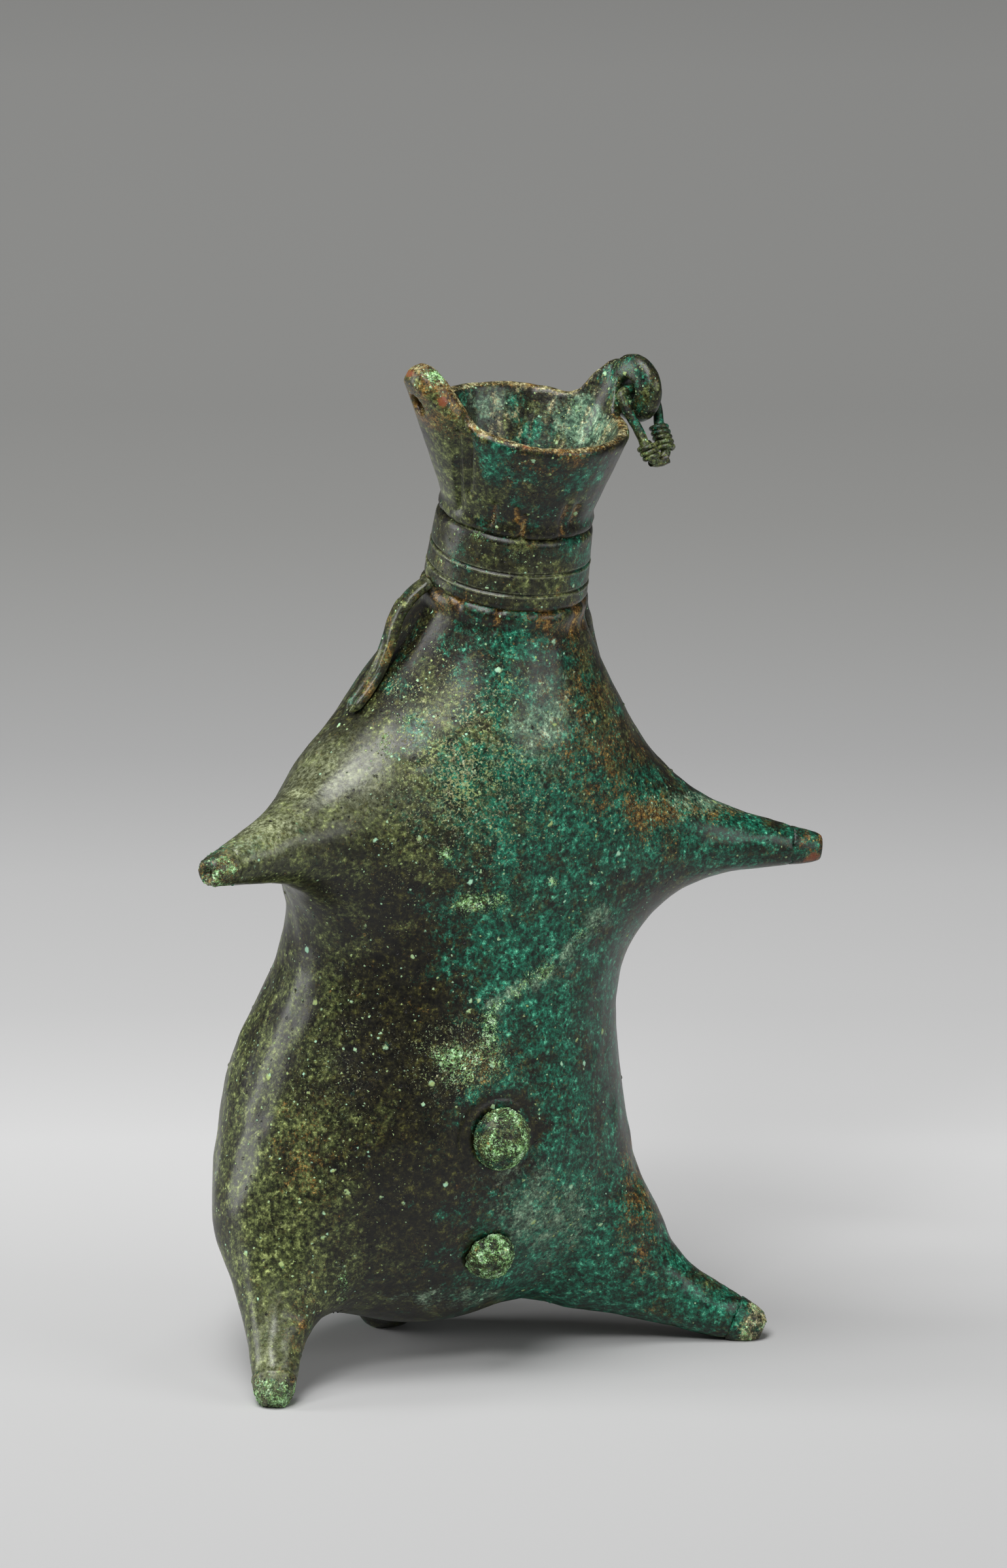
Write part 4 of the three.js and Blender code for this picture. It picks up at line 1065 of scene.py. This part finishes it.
# Shares of the tints by the part of the mouth that they lie on
MOUTH_SHARES = {
    "olive": {"all over": 0.3, "left ear": 0.3, "right ear": 0.15, "mottling": 1.0},
    "teal": {"all over": 0.12, "left ear": -0.25, "right ear": 0.3, "rim": -0.4, "inside": 0.15,
             "waves inside": 0.4, "waves of the far side": -0.3, "mottling": -1.0},
    "film": {"inside": 0.28, "far side": 0.25},
    "rust": {"all over": 0.18, "left ear": 0.35, "rim": 0.3, "notches": 0.5, "mottling": 0.4},
    "bone": {"inside": 0.32, "streaks inside": 0.4, "waves inside": -0.2},
    "mint": {"all over": 0.2, "left ear": 0.3, "right ear": 0.3, "rim": 0.25, "inside": 0.2,
             "mottling": -0.4},
    "cuprite": {"rim": 0.06},
    "pale": {"rim": 0.12, "waves inside": 0.2},
}
RIM_BONE = 0.5
NOTCH_BONE = 0.4

FOLDS_BESIDE_LEFT_EAR = (
    ((700, 668), (702, 720), (704, 778)),
    ((714, 640), (718, 690), (717, 752)),
)
NOTCHES_OVER_TIE = (
    ((755, 778), (754, 800)),
    ((789, 782), (790, 796)),
    ((803, 795), (796, 818)),
    ((868, 780), (855, 817)),
    ((884, 778), (874, 802)),
)
NOTCH_DEPTH_MM = 0.4
LEFT_EAR_ANGLE = math.radians(182)
LEFT_EAR_HALF_TURN = 0.5
LEFT_EAR_ROOT_MM = 2
RIGHT_EAR_REACH_MM = 4.8
OUTSIDE_SHARPNESS = 3
RIM_SLOPE = 0.35
RIM_SHARPNESS = 3
RIM_DEPTH_MM = 3
RIM_LUMPS_MM = 0.12
STREAKS_ROUND = 14
STREAKS_UP = 0.22
STREAK_MM = 0.05
MOUTH_GATHER_MM = 0.7
MOUTH_GATHER_ABOVE_MM = 0.3
MOUTH_GATHER_HALF_HEIGHT_MM = 1.0
SPIGOT_CLEAR_MM = 0.5
MOUTH_CELL_MM = 0.3
MOUTH_SMOOTHING = 12


def make_mouth(material):
    mesh = fine_copy("mouth_funnel", MOUTH_CELL_MM, MOUTH_SMOOTHING)
    mouth = surface_of(mesh)
    points, normals, hidden = mouth.points, mouth.normals, mouth.hidden
    angle, radius, rise = neck_place(points)
    radial = np.cos(angle)[:, None] * neck_right + np.sin(angle)[:, None] * neck_back
    hinge = np.array(frame["joints"][0]["pos_m"]) / MM
    right_ear = np.exp(-(np.linalg.norm(points - hinge, axis=1) / RIGHT_EAR_REACH_MM) ** 6)
    above_root = np.clip((rise - RIM_RISE_MM + LEFT_EAR_ROOT_MM) / LEFT_EAR_ROOT_MM, 0, 1)
    left_ear = np.exp(-(angle_from(angle, LEFT_EAR_ANGLE) / LEFT_EAR_HALF_TURN) ** 4) * above_root
    outside = np.clip(0.5 + OUTSIDE_SHARPNESS * (normals * radial).sum(axis=1), 0, 1)
    inside = (1 - outside) * (1 - right_ear) * (1 - left_ear)
    rim = np.clip((normals @ neck_axis - RIM_SLOPE) * RIM_SHARPNESS, 0, 1)
    rim = rim * (rise > RIM_RISE_MM - RIM_DEPTH_MM) * (1 - right_ear)
    fold = mouth.strokes(FOLDS_BESIDE_LEFT_EAR, FOLD_HALF_WIDTH) * outside
    notch = mouth.strokes(NOTCHES_OVER_TIE, FOLD_HALF_WIDTH) * outside
    unrolled = np.column_stack((angle * STREAKS_ROUND, STREAKS_UP * rise, 0 * rise))
    streaks = rumple(unrolled, 1.0, seed=8)
    wide = rumple(points, 8.0, seed=9)
    gathered = np.exp(-((rise - TIE_TOP_MM - MOUTH_GATHER_ABOVE_MM) / MOUTH_GATHER_HALF_HEIGHT_MM) ** 2)
    lift = rumples(points, (0.06, 6.0, 12), (0.035, 1.8, 13)) + STREAK_MM * streaks * inside
    lift += MOUTH_GATHER_MM * gathered * outside * (radius > NECK_RADIUS_MM + SPIGOT_CLEAR_MM)
    lift -= FOLD_DEPTH_MM * fold + NOTCH_DEPTH_MM * notch + pleats(points, above=True) * outside * hidden
    lift += RIM_LUMPS_MM * rim * rumple(points, 1.5, seed=14)
    raise_points(mesh, lift)
    places = {
        "all over": 1.0,
        "left ear": left_ear,
        "right ear": right_ear,
        "rim": rim,
        "notches": notch,
        "inside": inside,
        "streaks inside": inside * streaks,
        "waves inside": inside * wide,
        "far side": outside * hidden,
        "waves of the far side": outside * hidden * wide,
        "mottling": rumples(points, (0.3, 3.5, 10), (0.2, 1.6, 11)),
    }
    spot_sides = {"olive": outside, "teal": outside, "rust": outside, "film": inside}
    shares = {}
    for name, amounts in MOUTH_SHARES.items():
        shares[name] = spot_sides.get(name, 1.0) * mouth.patches(MOUTH_SPOTS[name])
        for place, amount in amounts.items():
            shares[name] += amount * places[place]
    shares["bone"] = np.maximum(RIM_BONE * rim, shares["bone"]) + NOTCH_BONE * notch
    tint(mesh, **shares)
    crusted = with_crust(mesh, material, grains_per_mm2=6.0, grain_mm=0.18)
    show("mouth_of_the_flask", crusted, material, "mouth_funnel")


# Tie and its loose ends

TIE_WALL_BOTTOM_MM = 1.9
TIE_WALL_TOP_MM = 1.4
TIE_BORE_MM = 0.3
TIE_EDGE_MM = 1.1
TIE_LIP_MM = 0.75
TIE_LIP_RISE_MM = 0.26
TIE_CUT_DEPTH_MM = 0.22
TIE_CUT_HALF_WIDTH_MM = 0.15
TIE_RIDGE_MM = 0.07
TIE_RIDGE_BELOW_MM = 0.32
TIE_RIDGE_HALF_WIDTH_MM = 0.16
TIE_SWAY_MM = 0.14
TIE_SWAY_START = 0.6
TIE_WOBBLE_MM = 0.08
TIE_SWAY_FADE_MM = 2
TIE_CREST_MM = 0.012
TIE_FOOT_MM = 0.7
TIE_SEGMENTS = 240
TIE_STEPS = 110
TIE_TEAL = {"right of the tie": ((885, 850), (35, 60), 0.4)}
TIE_PALE = {
    "front": ((730, 820), (22, 16), 0.5),
    "right": ((790, 850), (40, 18), 0.4),
}


def tie_radius(rise):
    """Radius of the band at a rise, with two cut lines, a raised ridge below each, and rounded edges."""
    share = (rise + TIE_TOP_MM) / (2 * TIE_TOP_MM)
    wall = TIE_WALL_BOTTOM_MM + (TIE_WALL_TOP_MM - TIE_WALL_BOTTOM_MM) * share
    cut_rise = -TIE_TOP_MM
    for turn in TIE_TURNS_MM[:-1]:
        cut_rise += turn
        away = rise - cut_rise
        wall -= TIE_CUT_DEPTH_MM * math.exp(-(away / TIE_CUT_HALF_WIDTH_MM) ** 2)
        wall += TIE_RIDGE_MM * math.exp(-((away + TIE_RIDGE_BELOW_MM) / TIE_RIDGE_HALF_WIDTH_MM) ** 2)
    from_edge = min(rise + TIE_TOP_MM, TIE_TOP_MM - rise)
    rounding = TIE_EDGE_MM - math.sqrt(max(TIE_EDGE_MM ** 2 - max(TIE_EDGE_MM - from_edge, 0) ** 2, 0))
    return NECK_RADIUS_MM + max(wall - rounding, TIE_LIP_MM)


def make_tie(material):
    outline = []
    for step in range(TIE_STEPS + 1):
        rise = TIE_TOP_MM * (2 * step / TIE_STEPS - 1)
        outline.append((tie_radius(rise), rise))
    bore = NECK_RADIUS_MM + TIE_BORE_MM
    outline.append((NECK_RADIUS_MM + TIE_LIP_MM, TIE_TOP_MM + TIE_LIP_RISE_MM))
    outline += [(bore, TIE_TOP_MM), (bore, 0.0), (bore, -TIE_TOP_MM)]
    points = []
    for segment in range(TIE_SEGMENTS):
        angle = 2 * math.pi * segment / TIE_SEGMENTS
        sway = TIE_SWAY_MM * math.sin(angle + TIE_SWAY_START) + TIE_WOBBLE_MM * math.sin(3 * angle)
        for radius, rise in outline:
            inner = min(max((TIE_TOP_MM - abs(rise)) / TIE_SWAY_FADE_MM, 0.0), 1.0)
            points.append(neck_point(radius, angle, rise + sway * inner))
    mesh = mesh_of_rings("tie", points, len(outline), closed=True)
    band = surface_of(mesh)
    rise = neck_place(band.points)[2]
    worn_and_highlit = crests(mesh, TIE_CREST_MM) * (np.abs(rise) < TIE_TOP_MM - TIE_EDGE_MM)
    raise_points(mesh, rumples(band.points, (0.06, 3.5, 15), (0.03, 1.2, 16)))
    mottle = rumples(band.points, (0.45, 3.2, 17), (0.25, 1.4, 18))
    foot = np.exp(-((rise + TIE_TOP_MM) / TIE_FOOT_MM) ** 2)
    tint(
        mesh,
        olive=0.4 + mottle,
        teal=0.18 - mottle + band.patches(TIE_TEAL),
        rust=0.22 + 0.5 * mottle + 0.4 * foot,
        mint=0.3 - 0.4 * mottle,
        pale=band.patches(TIE_PALE),
        # The tie's worn edges also carry painted highlight
        crest=0.4 * worn_and_highlit,
    )
    show("tie_round_the_neck", mesh, material, "neck_tie")


CORD_WIDTH_MM = 2.7
CORD_END_WIDTH_MM = 2.3
CORD_THICKNESS_MM = 1.4
CORD_STATIONS = 64
CORD_SIDES = 32
CORD_SMOOTHING = 20
CORD_FLATNESS = 0.7
CORD_CREST_MM = 0.06

# The cord's root in the foot of the tie, and how far it then stays off the hide
CORD_ROOT_SINK_MM = 0.2
CORD_ROOT_RISE_MM = 0.4
CORD_CLEAR_MM = 0.1
HIDE_SEARCH_MM = 60.0

# The cord's arch, the parting of its end, and the notch and rounding of its tip, as shares unless in mm
ARCH_MIDDLE = 0.25
ARCH_HALF_LENGTH = 0.5
PARTING_DEPTH = 0.5
PARTING_HALF_WIDTH = 0.3
PARTING_START = 0.4
PARTING_RUN = 0.25
CORD_NOTCH_START = 0.9
CORD_NOTCH_MM = 1.3
CORD_TIP_MM = 0.9
CORD_TIP_LEAST = 0.05


def between(value, low, high):
    return min(max(value, low), high)


def squared_off(value):
    """Sine or cosine of a round cord, drawn out to that of a flatter one."""
    return math.copysign(abs(value) ** CORD_FLATNESS, value)


def make_tie_end(name, node, hide, material, top_angle, foot_angle, drop_mm, arch_mm):
    """Loose end of the tie: a flat cord that arches off the hide, then lies on it and parts into two."""
    root_rise = CORD_ROOT_RISE_MM - TIE_TOP_MM
    root = neck_point(NECK_RADIUS_MM + TIE_WALL_BOTTOM_MM - CORD_ROOT_SINK_MM, top_angle, root_rise)
    centres = [root]
    outs = [root - neck_point(0.0, top_angle, root_rise)]
    for station in range(1, CORD_STATIONS):
        along = station / (CORD_STATIONS - 1)
        angle = top_angle + (foot_angle - top_angle) * along
        rise = -TIE_TOP_MM - CORD_ROOT_RISE_MM - along * drop_mm
        start, inner = neck_point(HIDE_SEARCH_MM, angle, rise), neck_point(0.0, angle, rise)
        hit, normal, _, _ = hide.ray_cast(Vector(start), Vector(inner - start).normalized())
        from_arch = min(abs(along - ARCH_MIDDLE) / ARCH_HALF_LENGTH, 1.0)
        lift = CORD_CLEAR_MM + CORD_THICKNESS_MM / 2 + arch_mm * math.cos(math.pi / 2 * from_arch) ** 2
        centres.append(np.array(hit) + lift * np.array(normal))
        outs.append(np.array(normal))
    centres, outs = np.array(centres), np.array([out / np.linalg.norm(out) for out in outs])
    for _ in range(CORD_SMOOTHING):
        for route in (centres, outs):
            route[1:-1] = (route[:-2] + 2 * route[1:-1] + route[2:]) / 4
    points = []
    for station in range(CORD_STATIONS):
        along = station / (CORD_STATIONS - 1)
        ahead = centres[min(station + 1, CORD_STATIONS - 1)] - centres[max(station - 1, 0)]
        ahead /= np.linalg.norm(ahead)
        out = outs[station] - ahead * (outs[station] @ ahead)
        out /= np.linalg.norm(out)
        across = np.cross(ahead, out)
        taper = math.sqrt(min((1 - along) * drop_mm / CORD_TIP_MM + CORD_TIP_LEAST, 1.0))
        parted = PARTING_DEPTH * between((along - PARTING_START) / PARTING_RUN, 0.0, 1.0)
        notch_mm = CORD_NOTCH_MM * max(along - CORD_NOTCH_START, 0.0) / (1 - CORD_NOTCH_START)
        width = CORD_WIDTH_MM + (CORD_END_WIDTH_MM - CORD_WIDTH_MM) * along
        for side in range(CORD_SIDES):
            turn = 2 * math.pi * side / CORD_SIDES
            up, sideways = squared_off(math.cos(turn)), squared_off(math.sin(turn))
            middle = math.exp(-(sideways / PARTING_HALF_WIDTH) ** 2)
            height = taper * CORD_THICKNESS_MM / 2 * up * (1 - parted * middle * (up > 0))
            reach = taper * width / 2 * sideways
            points.append(centres[station] + height * out + reach * across - notch_mm * middle * ahead)
    mesh = mesh_of_rings(name, points, CORD_SIDES)
    points = mesh_points(mesh)
    raise_points(mesh, rumples(points, (0.05, 1.6, 19)))
    mottle = rumples(points, (0.4, 2.0, 20))
    tint(
        mesh,
        olive=0.5 + mottle,
        teal=0.2 - mottle,
        rust=0.35 + mottle,
        mint=0.25,
        pale=0.15,
        crest=0.4 * crests(mesh, CORD_CREST_MM),
    )
    show(name, mesh, material, node)


# Studs and limb tips

SMALL_CELL_MM = 0.2
STUD_SMOOTHING = 6
STUD_SINK_MM = 0.12


def make_stud(name, node, material, lumps_mm, seed):
    """Dome under a granular crust."""
    mesh = fine_copy(node, SMALL_CELL_MM, STUD_SMOOTHING)
    points = mesh_points(mesh)
    lift = lumps_mm * rumples(points, (1.0, 2.0, seed), (0.6, 0.8, seed + 1)) - STUD_SINK_MM
    raise_points(mesh, lift)
    raised = np.clip(0.55 + 0.5 * lift / lumps_mm, 0, 1)
    mottle = rumples(points, (0.4, 2.2, seed + 2))
    tint(
        mesh,
        olive=0.6 + mottle,
        teal=0.25 - mottle,
        rust=0.2,
        mint=0.8 * raised,
        pale=0.45 + 0.6 * raised + 0.4 * mottle,
    )
    crusted = with_crust(mesh, material, grains_per_mm2=30.0, grain_mm=0.17)
    show(name, crusted, material, node)


# Directions in which the stumps point
LIMB_AXES = {
    "fore_cap_left": (-22.3, -8.2, -1.4),
    "fore_cap_right": (26.3, -8.5, -3.8),
    "hind_cap_left": (-6.5, -11.1, -16.5),
    "hind_cap_right": (16.9, -10.0, -8.4),
}
TIP_SMOOTHING = 5
TIP_LUMPS_MM = 0.07
PEG_CLEAR_MM = 1.2

# The rear of a tip is drawn back over the stump by the overlap, and a little outward
TIP_OVERLAP_MM = 0.8
TIP_DRAWN_MM = 0.9
TIP_FLARE_MM = 0.1
TIP_REAR_SHARE = 0.02
LEAST_RADIUS_MM = 0.1

TIP_PIT_RADIUS_MM = 0.6
TIP_PIT_END_MM = 0.8


def make_limb_tip(name, node, material, seed, hole_mm=0.0, taper=0.0, **more):
    """End of a stump, drawn back over the joint line, with its own crust and at times a pit in its end."""
    mesh = fine_copy(node, SMALL_CELL_MM, TIP_SMOOTHING)
    points, normals = mesh_points(mesh), mesh_normals(mesh)
    axis = np.array(LIMB_AXES[node]) / np.linalg.norm(LIMB_AXES[node])
    along = (points - points.mean(axis=0)) @ axis
    off_axis = points - points.mean(axis=0) - along[:, None] * axis
    radius = np.linalg.norm(off_axis, axis=1)
    past_peg = radius > PEG_CLEAR_MM
    rear = np.quantile(along[past_peg], TIP_REAR_SHARE)
    drawn = np.clip(1 - (along - rear) / TIP_DRAWN_MM, 0, 1) * past_peg
    near_end = np.clip((along - along.max() + TIP_PIT_END_MM) / TIP_PIT_END_MM, 0, 1)
    pit = near_end * np.exp(-(radius / TIP_PIT_RADIUS_MM) ** 2)
    tapered = np.clip((along - rear) / (along.max() - rear), 0, 1) ** 1.5
    flared = TIP_FLARE_MM * drawn / np.maximum(radius, LEAST_RADIUS_MM)
    points = points - (TIP_OVERLAP_MM * drawn + hole_mm * pit)[:, None] * axis
    points += off_axis * (flared - taper * tapered)[:, None]
    place_points(mesh, points)
    raise_points(mesh, TIP_LUMPS_MM * rumple(points, 1.5, seed) * (1 - drawn))
    shares = skin_tints(Surface(points, normals))
    mottle = rumples(points, (0.4, 1.6, seed + 1))
    for tint_name, amount in more.items():
        shares[tint_name] = shares.get(tint_name, 0.0) + amount * (1 - drawn) + mottle * (amount > 0)
    tint(mesh, **shares)
    crusted = with_crust(mesh, material, grains_per_mm2=8.0, grain_mm=0.2)
    show(name, crusted, material, node)


# Wire ring

WIRE_RADIUS_MM = 0.62
WIRE_SIDES = 16
WRAP_WIRE_RADIUS_MM = 0.34
WRAP_WIRE_SIDES = 10
WRAP_RADIUS_MM = WIRE_RADIUS_MM + 0.8 * WRAP_WIRE_RADIUS_MM
WRAP_RISE_MM = 0.64
WRAP_STEPS = 28
RING_HANG = math.radians(30)
RING_LEG_MM = 1.55
RING_CHEEK_MM = 2.55
RING_FOOT_MM = 9.6

# One side of the loop from the hinge down, as distances across and down, and the two ends at its foot
RING_SIDE_MM = (
    (RING_CHEEK_MM, 0.0),
    (RING_CHEEK_MM + 0.1, 1.6),
    (RING_CHEEK_MM - 0.2, 3.4),
    (RING_LEG_MM + 0.15, 5.2),
    (RING_LEG_MM, 6.6),
    (RING_LEG_MM, RING_FOOT_MM - 0.9),
)
RING_FIRST_END_MM = ((0.9, RING_FOOT_MM - 0.1, -0.5), (-0.2, RING_FOOT_MM + 0.1, 0.1))
RING_LAST_END_MM = ((0.3, RING_FOOT_MM, 0.6), (-0.9, RING_FOOT_MM - 0.3, 0.5))

# Wraps round the legs: turns, place of the top across and down in mm, and lean in degrees
WRAPS = {
    "upper wrap": {"turns": 5.0, "across": RING_LEG_MM + 0.05, "down": 5.0, "lean": 0},
    "lower wrap": {"turns": 3.0, "across": -RING_LEG_MM + 0.1, "down": RING_FOOT_MM - 2.4, "lean": -14},
}


def ring_frame():
    """Matrix of the ring, in mm: across the ear, down the ring, out of its plane, from the hinge."""
    hinge = frame["joints"][0]
    across = -Vector(hinge["axis"]).normalized()
    down = Vector((0, 0, -1)) + across * across.z
    down.normalize()
    front = down.cross(across)
    hang = down * math.cos(RING_HANG) + front * math.sin(RING_HANG)
    turn = Matrix((across, hang, across.cross(hang))).transposed().to_4x4()
    return Matrix.Translation(Vector(hinge["pos_m"]) / MM) @ turn


def drawn_wire(build, curve, radius, sides):
    """Wire of a radius along a curve, inside a geometry node tree."""
    profile = build.add("GeometryNodeCurvePrimitiveCircle", Resolution=sides, Radius=radius).outputs[0]
    return build.add("GeometryNodeCurveToMesh", Curve=curve, Profile_Curve=profile, Fill_Caps=True).outputs[0]


def make_wire():
    """Wire of a radius along the edges of a path."""
    inputs = {"Path": GEOMETRY, "Radius": FLOAT, "Finish": MATERIAL}
    build, given, output = node_group("GeometryNodeTree", "wire along a path", inputs, "Wire", GEOMETRY)
    curve = build.add("GeometryNodeMeshToCurve", Mesh=given["Path"]).outputs[0]
    return dress(build, given, output, drawn_wire(build, curve, given["Radius"], WIRE_SIDES))


def make_wrap():
    """Close turns of thin wire: a coil that rises along +Z."""
    inputs = {"Turns": FLOAT, "Coil Radius": FLOAT, "Rise": FLOAT, "Wire Radius": FLOAT, "Finish": MATERIAL}
    build, given, output = node_group("GeometryNodeTree", "wire wrap", inputs, "Coil", GEOMETRY)
    spiral = build.add("GeometryNodeCurveSpiral", Resolution=WRAP_STEPS, Rotations=given["Turns"])
    build.feed(spiral.inputs["Height"], given["Rise"])
    for end in ("Start Radius", "End Radius"):
        build.feed(spiral.inputs[end], given["Coil Radius"])
    wire = drawn_wire(build, spiral.outputs[0], given["Wire Radius"], WRAP_WIRE_SIDES)
    return dress(build, given, output, wire)


def path_mesh(points):
    mesh = bpy.data.meshes.new("path")
    mesh.from_pydata(points, [(i, i + 1) for i in range(len(points) - 1)], [])
    return mesh


def rounded_route(corners, rounds=4):
    """Route through corners with its bends rounded by cutting them again and again."""
    route = np.array(corners, float)
    for _ in range(rounds):
        near = 0.75 * route[:-1] + 0.25 * route[1:]
        far = 0.25 * route[:-1] + 0.75 * route[1:]
        route = np.concatenate((route[:1], np.stack((near, far), axis=1).reshape(-1, 3), route[-1:]))
    return route


def make_ring(material):
    inner = [(-across, down, 0.0) for across, down in RING_SIDE_MM]
    outer = [(across, down, 0.0) for across, down in RING_SIDE_MM]
    route = rounded_route([*RING_FIRST_END_MM, *inner[::-1], *outer, *RING_LAST_END_MM]).tolist()
    meshes = [grown(make_wire(), path_mesh(route), Radius=WIRE_RADIUS_MM, Finish=material)]
    coil = {"Coil_Radius": WRAP_RADIUS_MM, "Wire_Radius": WRAP_WIRE_RADIUS_MM, "Finish": material}
    wrap_tree = make_wrap()
    down_ring = Matrix.Rotation(math.radians(-90), 4, "X")
    for name, wrap in WRAPS.items():
        rise = wrap["turns"] * WRAP_RISE_MM
        mesh = grown(wrap_tree, bpy.data.meshes.new(name), Turns=wrap["turns"], Rise=rise, **coil)
        lean = Matrix.Rotation(math.radians(wrap["lean"]), 4, "Z")
        mesh.transform(Matrix.Translation((wrap["across"], wrap["down"], 0.0)) @ lean @ down_ring)
        meshes.append(mesh)
    mesh = joined(meshes)
    mesh.transform(Matrix.Scale(MM, 4) @ ring_frame())
    points = mesh_points(mesh)
    raise_points(mesh, rumples(points, (0.05, 0.9, 21)))
    wide = rumple(points, 3.0, seed=22)
    tint(
        mesh,
        olive=0.5 + 0.4 * wide,
        teal=0.35 - 0.5 * wide,
        rust=0.3,
        mint=0.4,
        pale=0.2 + 0.3 * wide,
        cuprite=0.12,
    )
    show("wire_ring", mesh, material, "suspension_ring", body="ring")


# Loose ends of the tie: angles round the neck in degrees, and how far they drop and arch in mm
TIE_ENDS = {
    "left_end_of_the_tie": {"node": "tie_end_left", "top": 170, "foot": 182, "drop": 15.4, "arch": 1.9},
    "right_end_of_the_tie": {"node": "tie_end_right", "top": 0, "foot": 12, "drop": 15.0, "arch": 0.2},
}
# Tints that the limb tips have beyond those of the hide
LEFT_FORE_TINTS = {"rust": 0.28, "teal": 0.3, "mint": 0.35, "pale": 0.42, "cuprite": 0.12}
RIGHT_FORE_TINTS = {"rust": 0.35, "cuprite": 0.35}
LEFT_HIND_TINTS = {"mint": 0.5, "pale": 0.62, "teal": 0.3, "rust": 0.2}
RIGHT_HIND_TINTS = {"bone": 0.55, "mint": 0.3, "pale": 0.4}

make_camera()
make_floor()
make_lights()
hide = make_skin(bronze_patina("skin patina", patch_mm=4.0, speck_mm=1.3))
make_mouth(bronze_patina("mouth patina", patch_mm=2.6, speck_mm=1.1))
make_tie(bronze_patina("tie patina", patch_mm=2.2, speck_mm=1.0))
cord_patina = bronze_patina("cord patina", patch_mm=1.8, speck_mm=1.0)
for name, end in TIE_ENDS.items():
    angles = math.radians(end["top"]), math.radians(end["foot"])
    make_tie_end(name, end["node"], hide, cord_patina, *angles, end["drop"], end["arch"])
stud_crust = bronze_patina("stud crust", patch_mm=3.0, speck_mm=0.8, roughness=0.5)
make_stud("navel_stud", "navel_boss", stud_crust, lumps_mm=0.13, seed=23)
make_stud("sheath_stud", "sheath_boss", stud_crust, lumps_mm=0.2, seed=26)
tip_patina = bronze_patina("limb tip patina", patch_mm=2.5, speck_mm=1.0, roughness=0.42)
make_limb_tip("left_fore_tip", "fore_cap_left", tip_patina, seed=31, hole_mm=0.9, **LEFT_FORE_TINTS)
make_limb_tip("right_fore_tip", "fore_cap_right", tip_patina, seed=33, **RIGHT_FORE_TINTS)
make_limb_tip("left_hind_tip", "hind_cap_left", tip_patina, seed=35, taper=0.25, **LEFT_HIND_TINTS)
make_limb_tip("right_hind_tip", "hind_cap_right", tip_patina, seed=37, taper=0.12, **RIGHT_HIND_TINTS)
make_ring(bronze_patina("wire patina", patch_mm=2.2, speck_mm=0.8, roughness=0.42))
